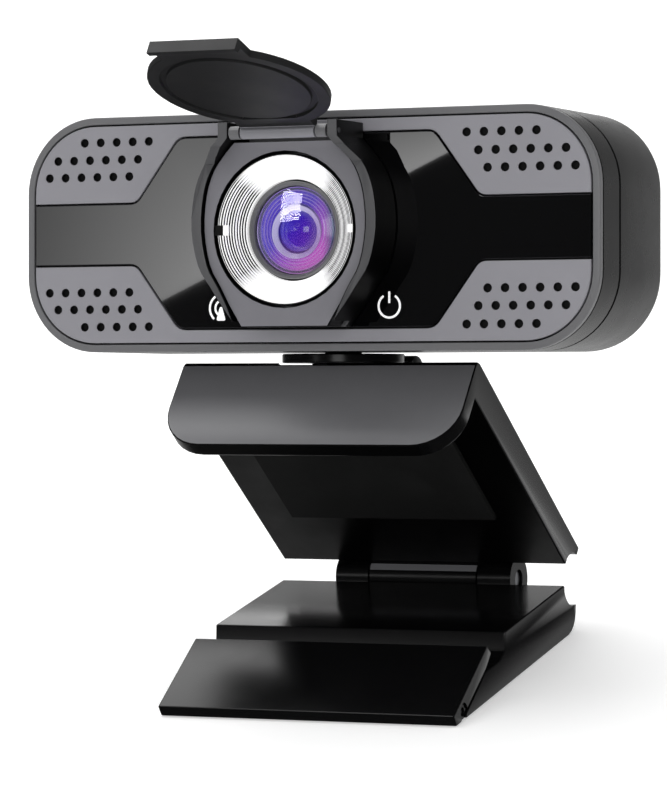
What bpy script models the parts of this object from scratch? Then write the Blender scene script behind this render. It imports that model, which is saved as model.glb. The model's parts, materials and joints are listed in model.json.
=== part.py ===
"""Webcam with a privacy cover on its own folding clip stand.

Units are metres and +Z is up.  The stand's flat underside lies on z = 0 with its
centre at the origin, and the lens looks along -Y, leaning back a little.
World, clip and base pieces are drawn in world axes.  The camera's own pieces are
drawn in head axes: X to the right, Y into the body, Z up, origin on the lens axis
in the plane of the front face.
"""
import math

import bmesh
import bpy
from mathutils import Matrix, Vector

# ---------------------------------------------------------------- driving sizes
GAP = 0.0003                 # clearance between pieces that touch
RUN = 0.0003                 # clearance of a turning fit

LEAN = math.radians(13.8)    # how far the lens axis points above the horizon

# Camera body
BODY_WIDTH = 0.1009
BODY_HEIGHT = 0.0384
BODY_DEPTH = 0.0296
BODY_CORNER = 0.0125         # corner radius seen from the front
REAR_ROUND = 0.0030          # rounding of the back edge
SEAM_DEPTH = 0.0087          # front face to the seam between band and rear shell
WALL = 0.0016                # wall of the casings
BEZEL_WIDTH = 0.0012
BEZEL_DEPTH = 0.0012
FACE_DEPTH = 0.0012          # thickness of the grilles and the black panel
CARRIER_DEPTH = 0.0014       # plate behind the grilles

# Lens housing
RIM_FRONT = -0.0083          # front of the raised rim
RIM_WALL = 0.0017
RIM_EDGE = 0.0004            # what is left of the rim's wall at its foot
RIM_FOOT = BODY_HEIGHT / 2 - 0.0038    # how far the rim reaches below the lens axis
RIM_WAIST = RIM_FOOT + 0.0007          # half width at the lens axis
EAR_FRONT = -0.0104          # front of the two ears that carry the cover
EAR_HALF = 0.0104            # outside of an ear from the middle plane
EAR_TOP = BODY_HEIGHT / 2 - 0.0022
EAR_RAMP_TOP = 0.0022        # the ear's front ends this far below the cover's hinge
EAR_RAMP_FOOT = 0.0048       # and its ramp meets the rim this far below it
PLATE_FRONT = -0.00765       # front of the plate around the ring
PLATE_FLOOR = -0.0022        # floor of the housing under the plate
PLATE_BORDER = 0.0010        # slanted border of the plate
RING_RADIUS = RIM_FOOT - 0.00303       # recess that takes the focus ring
RING_INNER = 0.0081
RING_SUNK = 0.0002           # the ring's edge lies this far behind the plate's front
RING_FLAT = 0.0006           # flat outer edge of the ring
NOTCH_DEEP = 0.0008          # the ring's two finger notches
NOTCH_HALF = 0.0006
RING_INNER_DEPTH = -0.0044
RING_BACK = -0.0030
LENS_RADIUS = 0.0070
LENS_DOME = 0.0011
BARREL_RADIUS = 0.0077
BARREL_BACK = 0.0090
BARREL_WALL = 0.0012

# Black panel between the grilles, as half sizes
PANEL_TALL = BODY_HEIGHT / 2 - 0.0038      # half height in the middle
PANEL_TALL_WIDTH = RIM_WAIST + 0.0064      # half width of the tall part
PANEL_BAND = 0.0049                        # half height of the side bands
PANEL_BAND_START = PANEL_TALL_WIDTH + 0.0077   # where the slanted edge meets the band
PANEL_ROUND = 0.0009                       # rounding of the panel's corners

# Grille holes: distance from the long edge, from the panel's tall part, from the body's end
HOLE_RADIUS = 0.00072
HOLE_PITCH = 0.00295
HOLE_ROWS = ((0.00412, 0.00554, 0.0100), (0.00699, 0.00753, 0.0052), (0.00976, 0.00911, 0.0036))
HOLE_SIDES = 8

# White marks beside the lens
INDICATOR_X = RIM_WAIST - 0.0009
INDICATOR_Z = 0.0069 - BODY_HEIGHT / 2
INDICATOR_R = 0.0019

# Privacy cover
COVER_AXIS_Y = -0.0095
COVER_AXIS_Z = EAR_TOP - 0.0017
COVER_OPEN = math.radians(109)   # how far it stands open from hanging shut
COVER_DISC = RING_RADIUS + 0.0020
COVER_REACH = COVER_AXIS_Z + 0.0002    # hinge axis to the middle of the disc
COVER_TAB_END = COVER_REACH + COVER_DISC + 0.0024
COVER_TAB_HALF = 0.0075
COVER_LIP = 0.0010           # how far the tab's end is bent towards the lens
COVER_THICK = 0.0012
COVER_GROOVE_WIDE = 0.0010   # ring groove in the inner face
COVER_GROOVE_DEEP = 0.0005
COVER_GROOVE_EDGE = 0.0020   # from the disc's edge to the groove
COVER_BARREL = 0.00105
COVER_BARREL_HALF = 0.0064
COVER_PIN = 0.00045
COVER_FIT = 0.0001           # clearance around the cover's thin pin
PIN_SHORT = 0.0002           # pins end this far inside their holes

# Swivel and tilt under the body
PAN_Y = BODY_DEPTH / 2 + 0.0001    # pan axis behind the front face
DISC_RADIUS = 0.0100
DISC_TOP = -BODY_HEIGHT / 2 - GAP
DISC_THICK = 0.0015
BOSS_RADIUS = 0.0030
PAN_SCREW = 0.0012           # radius of the screw the body turns on
PAN_SCREW_HEAD = 0.0026
WASHER_THICK = 0.0008
WASHER_LIP = 0.0025          # how far the washer overlaps the body's floor
TILT_Y = PAN_Y + 0.0096
TILT_Z = DISC_TOP - 0.0034
TILT_KNUCKLE = 0.0032
TILT_KNUCKLE_HALF = 0.0050
TILT_EAR_HALF = 0.0089
TILT_PIN = 0.0011

# Clip stand, in world axes
CLIP_WIDTH = 0.0522
HINGE_Y = 0.02724            # axis of the clip's rear hinge
HINGE_Z = 0.00834
HINGE_BARREL = 0.0039
HINGE_HALF = CLIP_WIDTH / 2 - 0.0099
HINGE_CENTRE_HALF = 0.0100   # half length of the bracket's own knuckle
HINGE_PIN = 0.0014
APEX_BACK = 0.0056           # from the pan axis forward to the bracket's corner
APEX_DROP = 0.0010           # from the disc's top down to the bracket's corner
PLATE_SLOPE = math.radians(49.2)
PLATE_LENGTH = 0.0544
PLATE_THICK = 0.0057
PLATE_SHORT = 0.000969        # the plate ends this far before the hinge
PLATE_ABOVE = 0.000217        # its inner face lies this far above the hinge
LIP_SLOPE = math.radians(39.1)
LIP_LENGTH = 0.0172
LIP_THICK = 0.0029
LIP_CORNER = 0.0075
APEX_ROUND = 0.0012
NOTCH_RADIUS = 0.0046        # bracket's clearance around the barrel

BASE_TOP = 0.00866
BASE_REAR = 0.0274
BASE_TOP_FRONT = -0.0039
BASE_NOTCH = 0.00425
GROOVE_FLOOR = 0.0047
GROOVE_FRONT = -0.0134
BASE_SIDE_ROUND = 0.0022
PAD_THICK = 0.0008
FOOT_FRONT_Y = -0.02744      # lower front edge of the foot
FOOT_FRONT_Z = 0.00185
FOOT_SLOPE = math.radians(23.4)
FOOT_LENGTH = 0.0171
FOOT_THICK = 0.0027
FOOT_PIN = 0.0005
FOOT_KNUCKLE = 0.0012
FOOT_AXIS_BACK = 0.0042      # hinge line behind the foot's lower front edge
FOOT_KNUCKLE_SPAN = 0.0114   # length of each of the foot's two knuckles
FOOT_PIN_SHORT = 0.0006

# Rubber strips
PAD_X = CLIP_WIDTH / 2 - 0.0096
PAD_FRONT, PAD_REAR = -0.0150, 0.0200
PAD_WIDTH = 0.0075
PLATE_PAD_START, PLATE_PAD_LONG = 0.0100, 0.0260
LIP_PAD_START, LIP_PAD_LONG = 0.0065, 0.0085

# Tripod socket in the underside (1/4 inch camera thread)
SOCKET_BORE = 0.00305
SOCKET_OUTER = 0.0043
SOCKET_DEPTH = 0.0062
SOCKET_Y = 0.0080

# Inside the camera
BOARD_THICK = 0.0010
BOARD_SPACE = 0.0045         # between the sensor board and the main board
SENSOR_HALF_X, SENSOR_HALF_Z, SENSOR_THICK = 0.0035, 0.0030, 0.0010
SENSOR_BOARD_HALF = 0.0120
CHIP_LOW, CHIP_HIGH, CHIP_THICK = (0.0040, -0.0040), (0.0130, 0.0050), 0.0012
PLUG_HALF, PLUG_LOW, PLUG_HIGH = 0.0045, 0.0060, 0.0090
MIC_RADIUS, MIC_THICK = 0.0030, 0.0022
MIC_X = BODY_WIDTH / 2 - 0.01545
MIC_Z = BODY_HEIGHT / 2 - 0.0087
SCREW_HEAD = 0.0016
SCREW_SHANK = 0.0008
SCREW_X = BODY_WIDTH / 2 - 0.01045
SCREW_Z = BODY_HEIGHT / 2 - 0.0074
CABLE_BORE = 0.0019
GROMMET_WALL = 0.0012
CABLE_X = 0.0
CABLE_Z = -0.0060

# ------------------------------------------------------------------- colours
COLOURS = {
    "gloss_black": ((0.006, 0.006, 0.007), 0.12, 0.0),
    "satin_black": ((0.011, 0.011, 0.011), 0.38, 0.0),
    "matte_black": ((0.016, 0.016, 0.017), 0.55, 0.0),
    "grille_grey": ((0.19, 0.19, 0.205), 0.45, 0.0),
    "bezel_grey": ((0.09, 0.09, 0.093), 0.4, 0.0),
    "silver": ((0.86, 0.86, 0.87), 0.18, 1.0),
    "steel": ((0.55, 0.55, 0.56), 0.3, 1.0),
    "brass": ((0.72, 0.53, 0.25), 0.3, 1.0),
    "lens_violet": ((0.14, 0.05, 0.55), 0.05, 0.0),
    "lens_rose": ((0.55, 0.12, 0.5), 0.08, 0.0),
    "board_green": ((0.02, 0.13, 0.05), 0.5, 0.0),
    "chip_black": ((0.02, 0.02, 0.022), 0.5, 0.0),
    "sensor_blue": ((0.05, 0.06, 0.12), 0.15, 0.3),
    "icon_white": ((0.85, 0.85, 0.85), 0.35, 0.0),
    "rubber": ((0.02, 0.02, 0.02), 0.8, 0.0),
}


# ------------------------------------------------------------------ scene tools
def clear_scene():
    for obj in list(bpy.data.objects):
        bpy.data.objects.remove(obj, do_unlink=True)


def new_collection(name):
    collection = bpy.data.collections.new(name)
    bpy.context.scene.collection.children.link(collection)
    return collection


def material(slot):
    found = bpy.data.materials.get(slot)
    if found:
        return found
    colour, rough, metal = COLOURS[slot]
    made = bpy.data.materials.new(slot)
    made.use_nodes = True
    shader = made.node_tree.nodes["Principled BSDF"]
    shader.inputs["Base Color"].default_value = (*colour, 1.0)
    shader.inputs["Roughness"].default_value = rough
    shader.inputs["Metallic"].default_value = metal
    return made


clear_scene()
PARTS = new_collection("webcam_on_clip_stand")
CUTTERS = new_collection("cutters")

# Frames: the head leans back about X; its origin follows from the bracket.
WORLD = Matrix.Identity(4)
HEAD_TURN = Matrix.Rotation(-LEAN, 4, "X")
PLATE_ALONG = Vector((0, math.cos(PLATE_SLOPE), -math.sin(PLATE_SLOPE)))
PLATE_OUT = Vector((0, math.sin(PLATE_SLOPE), math.cos(PLATE_SLOPE)))
LIP_ALONG = Vector((0, -math.cos(LIP_SLOPE), -math.sin(LIP_SLOPE)))
LIP_IN = Vector((0, math.sin(LIP_SLOPE), -math.cos(LIP_SLOPE)))
APEX = (Vector((0, HINGE_Y, HINGE_Z)) - PLATE_ALONG * (PLATE_LENGTH + PLATE_SHORT)
        + PLATE_OUT * (PLATE_THICK + PLATE_ABOVE))
APEX_IN_HEAD = Vector((0, PAN_Y - APEX_BACK, DISC_TOP - APEX_DROP))
HEAD_ORIGIN = APEX - HEAD_TURN.to_3x3() @ APEX_IN_HEAD
HEAD = Matrix.Translation(HEAD_ORIGIN) @ HEAD_TURN
COVER = HEAD @ Matrix.Translation((0, COVER_AXIS_Y, COVER_AXIS_Z)) @ Matrix.Rotation(-COVER_OPEN, 4, "X")
PIVOTS = {}


def pivot(name, frame, point):
    """An empty on a joint's axis; `point` is in `frame`."""
    empty = bpy.data.objects.new(name, None)
    empty.empty_display_size = 0.005
    empty.matrix_world = frame @ Matrix.Translation(point)
    PARTS.objects.link(empty)
    PIVOTS[name] = empty.matrix_world.copy()
    return empty


def finish(obj, slot, frame, parent):
    """Name the material, shade it and hang it on its pivot, drawn in `frame`."""
    obj.data.materials.clear()
    obj.data.materials.append(material(slot))
    obj.data.shade_smooth()
    obj.data.set_sharp_from_angle(angle=math.radians(32))
    obj.parent = parent
    obj.matrix_basis = PIVOTS[parent.name].inverted() @ frame
    return obj


def from_bmesh(name, bm, collection=None):
    mesh = bpy.data.meshes.new(name)
    bm.to_mesh(mesh)
    bm.free()
    obj = bpy.data.objects.new(name, mesh)
    (collection or PARTS).objects.link(obj)
    if collection is CUTTERS:
        obj.hide_render = True
        obj.display_type = "WIRE"
    return obj


# ---------------------------------------------------------------- shape tools
def box(name, low, high, collection=None):
    bm = bmesh.new()
    low, high = Vector(low), Vector(high)
    size = high - low
    place = Matrix.Translation((low + high) / 2) @ Matrix.Diagonal((*size, 1))
    bmesh.ops.create_cube(bm, size=1, matrix=place)
    return from_bmesh(name, bm, collection)


AXIS_TURN = {
    "X": Matrix.Rotation(math.radians(90), 4, "Y"),
    "Y": Matrix.Rotation(math.radians(-90), 4, "X"),
    "Z": Matrix.Identity(4),
}


def rod(name, radius, start, length, axis, sides=24, collection=None):
    """A cylinder from `start` along `axis`."""
    bm = bmesh.new()
    turn = AXIS_TURN[axis]
    middle = Vector(start) + turn @ Vector((0, 0, length / 2))
    bmesh.ops.create_cone(bm, cap_ends=True, segments=sides, radius1=radius,
                          radius2=radius, depth=length,
                          matrix=Matrix.Translation(middle) @ turn)
    return from_bmesh(name, bm, collection)


def flat(name, outlines, low, high, plane="XZ", collection=None):
    """Outlines drawn in a plane, filled and extruded from `low` to `high`."""
    curve = bpy.data.curves.new(name, "CURVE")
    curve.dimensions = "2D"
    curve.fill_mode = "BOTH"
    curve.extrude = (high - low) / 2
    for outline in outlines:
        spline = curve.splines.new("POLY")
        spline.points.add(len(outline) - 1)
        for point, (u, v) in zip(spline.points, outline):
            point.co = (u, v, 0, 1)
        spline.use_cyclic_u = True
    holder = bpy.data.objects.new(name + "_outline", curve)
    PARTS.objects.link(holder)
    bpy.context.view_layer.update()
    graph = bpy.context.evaluated_depsgraph_get()
    mesh = bpy.data.meshes.new_from_object(holder.evaluated_get(graph))
    bpy.data.objects.remove(holder, do_unlink=True)
    bpy.data.curves.remove(curve)
    bm = bmesh.new()
    bm.from_mesh(mesh)
    bpy.data.meshes.remove(mesh)
    bmesh.ops.remove_doubles(bm, verts=bm.verts, dist=1e-6)
    middle = (low + high) / 2
    if plane == "XZ":      # drawn x, z; thickness along Y
        turn = Matrix(((1, 0, 0, 0), (0, 0, -1, middle), (0, 1, 0, 0), (0, 0, 0, 1)))
    elif plane == "YZ":    # drawn y, z; thickness along X
        turn = Matrix(((0, 0, 1, middle), (1, 0, 0, 0), (0, 1, 0, 0), (0, 0, 0, 1)))
    else:                  # drawn x, y; thickness along Z
        turn = Matrix.Translation((0, 0, middle))
    bmesh.ops.transform(bm, matrix=turn, verts=bm.verts)
    bmesh.ops.recalc_face_normals(bm, faces=bm.faces)
    if bm.calc_volume(signed=True) < 0:
        bmesh.ops.reverse_faces(bm, faces=bm.faces)
    if len(outlines) == 1:
        thickness = turn.to_3x3() @ Vector((0, 0, 1))
        for way in (-1, 1):
            cap = [face for face in bm.faces if face.normal.dot(thickness) * way > 0.99]
            bmesh.ops.dissolve_faces(bm, faces=cap)
    return from_bmesh(name, bm, collection)


def turned(name, profile, sides=40, collection=None):
    """A closed (radius, depth) profile turned about the Y axis."""
    bm = bmesh.new()
    ring = [bm.verts.new((radius, depth, 0)) for radius, depth in profile]
    for start, end in zip(ring, ring[1:] + ring[:1]):
        bm.edges.new((start, end))
    bmesh.ops.spin(bm, geom=list(bm.verts) + list(bm.edges), cent=(0, 0, 0), axis=(0, 1, 0),
                   angle=math.tau, steps=sides)
    bmesh.ops.remove_doubles(bm, verts=bm.verts, dist=1e-6)
    bmesh.ops.recalc_face_normals(bm, faces=bm.faces)
    return from_bmesh(name, bm, collection)


def boolean(obj, other, operation):
    """Cut or join, then store the result as plain mesh."""
    modifier = obj.modifiers.new(operation.lower(), "BOOLEAN")
    modifier.operation = operation
    modifier.object = other
    bpy.context.view_layer.update()
    graph = bpy.context.evaluated_depsgraph_get()
    mesh = bpy.data.meshes.new_from_object(obj.evaluated_get(graph))
    obj.modifiers.remove(modifier)
    old = obj.data
    obj.data = mesh
    bpy.data.meshes.remove(old)
    mesh.name = obj.name
    bpy.data.objects.remove(other, do_unlink=True)
    return obj


def cut(obj, *cutters):
    for cutter in cutters:
        boolean(obj, cutter, "DIFFERENCE")
    return obj


def join(obj, *others):
    for other in others:
        boolean(obj, other, "UNION")
    return obj


def round_edges(obj, chooser, radius, segments=3):
    """Round the edges whose two ends both satisfy `chooser`."""
    bm = bmesh.new()
    bm.from_mesh(obj.data)
    chosen = [edge for edge in bm.edges if all(chooser(vert.co) for vert in edge.verts)]
    bmesh.ops.bevel(bm, geom=chosen, offset=radius, segments=segments, profile=0.5,
                    affect="EDGES", clamp_overlap=True)
    bm.to_mesh(obj.data)
    bm.free()
    return obj


def near(value, target):
    return abs(value - target) < 2e-5


# ------------------------------------------------------------------- outlines
def arc(centre, radius, start, end, steps):
    """Points of an arc, angles in degrees."""
    points = []
    for step in range(steps + 1):
        angle = math.radians(start + (end - start) * step / steps)
        points.append((centre[0] + radius * math.cos(angle), centre[1] + radius * math.sin(angle)))
    return points


def rounded_rectangle(width, height, radius, steps=7):
    x, z = width / 2 - radius, height / 2 - radius
    points = []
    for centre, start in (((x, z), 0), ((-x, z), 90), ((-x, -z), 180), ((x, -z), 270)):
        points += arc(centre, radius, start, start + 90, steps)
    return points


def inset_rectangle(inset, steps=7):
    """The body's front outline moved inwards."""
    return rounded_rectangle(BODY_WIDTH - 2 * inset, BODY_HEIGHT - 2 * inset, BODY_CORNER - inset, steps)


def circle(centre, radius, sides):
    return arc(centre, radius, 0, 360, sides)[:-1]


def mirrored(half):
    """A half outline at +X, top to bottom, made whole."""
    return [(-x, z) for x, z in half] + [(x, z) for x, z in reversed(half)]


def rounded(outline, radius, steps=3):
    """The same closed outline with every corner rounded."""
    points = []
    for index, corner in enumerate(outline):
        corner = Vector(corner)
        back = Vector(outline[index - 1]) - corner
        ahead = Vector(outline[(index + 1) % len(outline)]) - corner
        reach = min(radius / math.tan(back.angle(ahead) / 2), 0.45 * back.length, 0.45 * ahead.length)
        start, end = corner + back.normalized() * reach, corner + ahead.normalized() * reach
        for step in range(steps + 1):
            t = step / steps
            points.append(tuple(start.lerp(corner, t).lerp(corner.lerp(end, t), t)))
    return points


def smooth(points, parts=3):
    """A curve through the points, as `parts` short runs between each two."""
    padded = [points[0]] + list(points) + [points[-1]]
    curve = []
    for before, start, end, after in zip(padded, padded[1:], padded[2:], padded[3:]):
        for part in range(parts):
            t = part / parts
            curve.append(tuple(
                0.5 * (2 * s + (e - b) * t + (2 * b - 5 * s + 4 * e - a) * t ** 2
                       + (3 * s - b - 3 * e + a) * t ** 3)
                for b, s, e, a in zip(before, start, end, after)))
    return curve + [tuple(points[-1])]


def rim_half(inset=0.0, foot_inset=0.0):
    """Half outline of the lens rim from the ear down to the foot, moved inwards."""
    waist = RIM_WAIST - inset
    ear = EAR_HALF - inset
    foot = RIM_WAIST * 0.51 - foot_inset
    swell = [(ear, RIM_FOOT * 0.94), (ear + 0.30 * (waist - ear), RIM_FOOT * 0.815),
             (ear + 0.69 * (waist - ear), RIM_FOOT * 0.62), (ear + 0.93 * (waist - ear), RIM_FOOT * 0.36),
             (waist, 0.0), (waist * 0.93, -RIM_FOOT * 0.36), (waist * 0.80, -RIM_FOOT * 0.58),
             (foot + 0.32 * (waist - foot), -RIM_FOOT * 0.78)]
    return [(ear, EAR_TOP)] + smooth(swell) + [(foot, -RIM_FOOT)]


# ---------------------------------------------------------------- joint pivots
BASE_PIVOT = pivot("base_root", WORLD, (0, 0, 0))
CLIP_PIVOT = pivot("clip_hinge_axis", WORLD, (0, HINGE_Y, HINGE_Z))
FOOT_TURN = Matrix.Translation((0, FOOT_FRONT_Y, FOOT_FRONT_Z)) @ Matrix.Rotation(FOOT_SLOPE, 4, "X")
FOOT_AXIS = Vector((0, FOOT_FRONT_Y + FOOT_AXIS_BACK, FOOT_KNUCKLE + 0.0001))
FOOT_PIVOT = pivot("foot_hinge_axis", Matrix.Translation(FOOT_AXIS) @ FOOT_TURN.to_3x3().to_4x4(), (0, 0, 0))
TILT_PIVOT = pivot("tilt_axis", HEAD, (0, TILT_Y, TILT_Z))
PAN_PIVOT = pivot("pan_axis", HEAD, (0, PAN_Y, DISC_TOP))
LENS_PIVOT = pivot("lens_axis", HEAD, (0, 0, 0))
COVER_PIVOT = pivot("cover_hinge_axis", COVER, (0, 0, 0))


# ------------------------------------------------------------------ camera body
def make_casings():
    """Rear shell, side band and front bezel."""
    rear_start = SEAM_DEPTH + GAP / 2
    shell = flat("rear_shell", [inset_rectangle(0)], rear_start, BODY_DEPTH)
    round_edges(shell, lambda co: near(co.y, BODY_DEPTH), REAR_ROUND, 4)
    hollow = flat("shell_hollow", [inset_rectangle(WALL)], rear_start - WALL, BODY_DEPTH - WALL,
                  collection=CUTTERS)
    round_edges(hollow, lambda co: near(co.y, BODY_DEPTH - WALL), REAR_ROUND - WALL / 2, 2)
    bottom = -BODY_HEIGHT / 2
    spindle_hole = rod("spindle_hole", BOSS_RADIUS + RUN, (0, PAN_Y, bottom - WALL), 3 * WALL, "Z",
                       20, CUTTERS)
    cable_hole = rod("cable_hole", CABLE_BORE + 2 * RUN + GROMMET_WALL, (CABLE_X, BODY_DEPTH - 2 * WALL,
                                                                         CABLE_Z),
                     4 * WALL, "Y", 16, CUTTERS)
    cut(shell, hollow, spindle_hole, cable_hole)
    for index, (x, z) in enumerate(screw_places()):
        cut(shell, rod(f"screw_hole_{index}", SCREW_SHANK + RUN, (x, BODY_DEPTH - 2 * WALL, z), 4 * WALL,
                       "Y", 8, CUTTERS),
            rod(f"screw_sink_{index}", SCREW_HEAD + RUN, (x, BODY_DEPTH - WALL / 2, z), WALL, "Y", 12,
                CUTTERS))
    finish(shell, "satin_black", HEAD, PAN_PIVOT)

    band = flat("mid_band", [inset_rectangle(0), inset_rectangle(WALL)], BEZEL_DEPTH + GAP,
                SEAM_DEPTH - GAP / 2)
    finish(band, "satin_black", HEAD, PAN_PIVOT)

    bezel = flat("front_bezel", [inset_rectangle(0), inset_rectangle(BEZEL_WIDTH)], 0, BEZEL_DEPTH)
    finish(bezel, "bezel_grey", HEAD, PAN_PIVOT)


def screw_places():
    return [(x, z) for x in (-SCREW_X, SCREW_X) for z in (-SCREW_Z, SCREW_Z)]


def panel_half():
    """Half outline of the black panel, top to bottom."""
    reach = BODY_WIDTH / 2 - BEZEL_WIDTH - GAP
    return [(PANEL_TALL_WIDTH, PANEL_TALL), (PANEL_BAND_START, PANEL_BAND), (reach, PANEL_BAND),
            (reach, -PANEL_BAND), (PANEL_BAND_START, -PANEL_BAND), (PANEL_TALL_WIDTH, -PANEL_TALL)]


def grille_outline(side):
    """Outline of the upper (side 1) or lower (side -1) grille plate."""
    corners = inset_rectangle(BEZEL_WIDTH + GAP)
    above = corners[:len(corners) // 2]
    low, high = PANEL_BAND + GAP, PANEL_TALL + GAP
    half = [(above[0][0], low), (PANEL_BAND_START + GAP / 2, low), (PANEL_TALL_WIDTH + GAP / 2, high)]
    bay = [(-x, z) for x, z in half] + half[::-1]
    return [(x, side * z) for x, z in above + bay]


def make_face():
    """The two grille plates and the glossy panel between them."""
    windows = [circle((0, 0), BARREL_RADIUS + GAP, 32)]
    windows += [circle((x, INDICATOR_Z), INDICATOR_R + GAP, 16) for x in (-INDICATOR_X, INDICATOR_X)]
    panel = flat("front_panel", [rounded(mirrored(panel_half()), PANEL_ROUND)] + windows, 0, FACE_DEPTH)
    finish(panel, "gloss_black", HEAD, PAN_PIVOT)

    for name, side in (("upper_grille", 1), ("lower_grille", -1)):
        holes = [circle((hand * x, side * z), HOLE_RADIUS, HOLE_SIDES)
                 for x, z in hole_places() for hand in (-1, 1)]
        grille = flat(name, [grille_outline(side)] + holes, 0, FACE_DEPTH)
        finish(grille, "grille_grey", HEAD, PAN_PIVOT)


def hole_places():
    """Centres of one corner's grille holes; rows end where the body does."""
    places = []
    for below_edge, beside_panel, before_end in HOLE_ROWS:
        start = PANEL_TALL_WIDTH + beside_panel
        count = 1 + int((BODY_WIDTH / 2 - before_end - start) / HOLE_PITCH)
        places += [(start + index * HOLE_PITCH, BODY_HEIGHT / 2 - below_edge) for index in range(count)]
    return places


def make_indicators():
    """White light pipes behind the power and microphone marks."""
    for x, name in ((INDICATOR_X, "power_indicator"), (-INDICATOR_X, "mic_indicator")):
        lamp = rod(name, INDICATOR_R, (x, 0, INDICATOR_Z), FACE_DEPTH, "Y", 16)
        finish(lamp, "icon_white", HEAD, PAN_PIVOT)


def make_carrier():
    """Plate behind the face that carries the lens, boards and microphones."""
    start = FACE_DEPTH + GAP
    carrier = flat("front_carrier", [inset_rectangle(WALL + GAP)], start, start + CARRIER_DEPTH)
    lens_hole = rod("carrier_hole", BARREL_RADIUS + GAP, (0, 0, 0), 0.01, "Y", 32, CUTTERS)
    cut(carrier, lens_hole)
    finish(carrier, "matte_black", HEAD, PAN_PIVOT)


# ----------------------------------------------------------------- lens housing
def make_housing():
    """Raised rim with its two ears, and the plate inside it."""
    rim = flat("lens_rim", [mirrored(rim_half())], RIM_FRONT, -GAP)
    inside = rim_half(RIM_WALL, RIM_EDGE)
    opening = [(inside[0][0], EAR_TOP + WALL)] + inside[1:-1] + [(inside[-1][0], -RIM_FOOT - WALL)]
    well = flat("rim_well", [mirrored(opening)], RIM_FRONT - WALL, PLATE_FLOOR, collection=CUTTERS)
    tunnel = rod("lens_tunnel", BARREL_RADIUS + GAP, (0, -0.02, 0), 0.04, "Y", 32, CUTTERS)
    cut(rim, well, tunnel)
    ears = flat("cover_ears", [mirrored(rim_half())], EAR_FRONT, RIM_FRONT + GAP, collection=CUTTERS)
    between = flat("between_ears", [mirrored(opening)], EAR_FRONT - WALL, RIM_FRONT + WALL,
                   collection=CUTTERS)
    steep = (EAR_RAMP_FOOT - EAR_RAMP_TOP) / (RIM_FRONT - EAR_FRONT)
    front, back = EAR_FRONT - WALL, RIM_FRONT + 2 * GAP
    ramp = flat("ear_ramp", [[(front, COVER_AXIS_Z - EAR_RAMP_TOP + WALL * steep),
                              (back, COVER_AXIS_Z - EAR_RAMP_FOOT - 2 * GAP * steep),
                              (back, -BODY_HEIGHT), (front, -BODY_HEIGHT)]],
                -BODY_WIDTH / 2, BODY_WIDTH / 2, "YZ", CUTTERS)
    join(rim, cut(ears, between, ramp))
    cut(rim, rod("ear_holes", COVER_PIN + COVER_FIT, (-RIM_WAIST, COVER_AXIS_Y, COVER_AXIS_Z), 2 * RIM_WAIST,
                 "X", 10, CUTTERS))
    finish(rim, "bezel_grey", HEAD, PAN_PIVOT)

    top = COVER_AXIS_Z - COVER_BARREL - RUN
    half = [(x, min(z, top)) for x, z in rim_half(RIM_WALL + GAP, RIM_EDGE + GAP)]
    half = [(half[0][0] - PLATE_BORDER, top)] + half[1:]
    plate = flat("lens_surround", [mirrored(half)], PLATE_FRONT, PLATE_FLOOR - GAP)
    bore = rod("ring_bore", RING_RADIUS, (0, -0.02, 0), 0.04, "Y", 40, CUTTERS)
    round_edges(plate, lambda co: near(co.y, PLATE_FRONT) and abs(co.z) < top * 0.9, PLATE_BORDER, 1)
    cut(plate, bore)
    finish(plate, "bezel_grey", HEAD, PAN_PIVOT)


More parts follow.
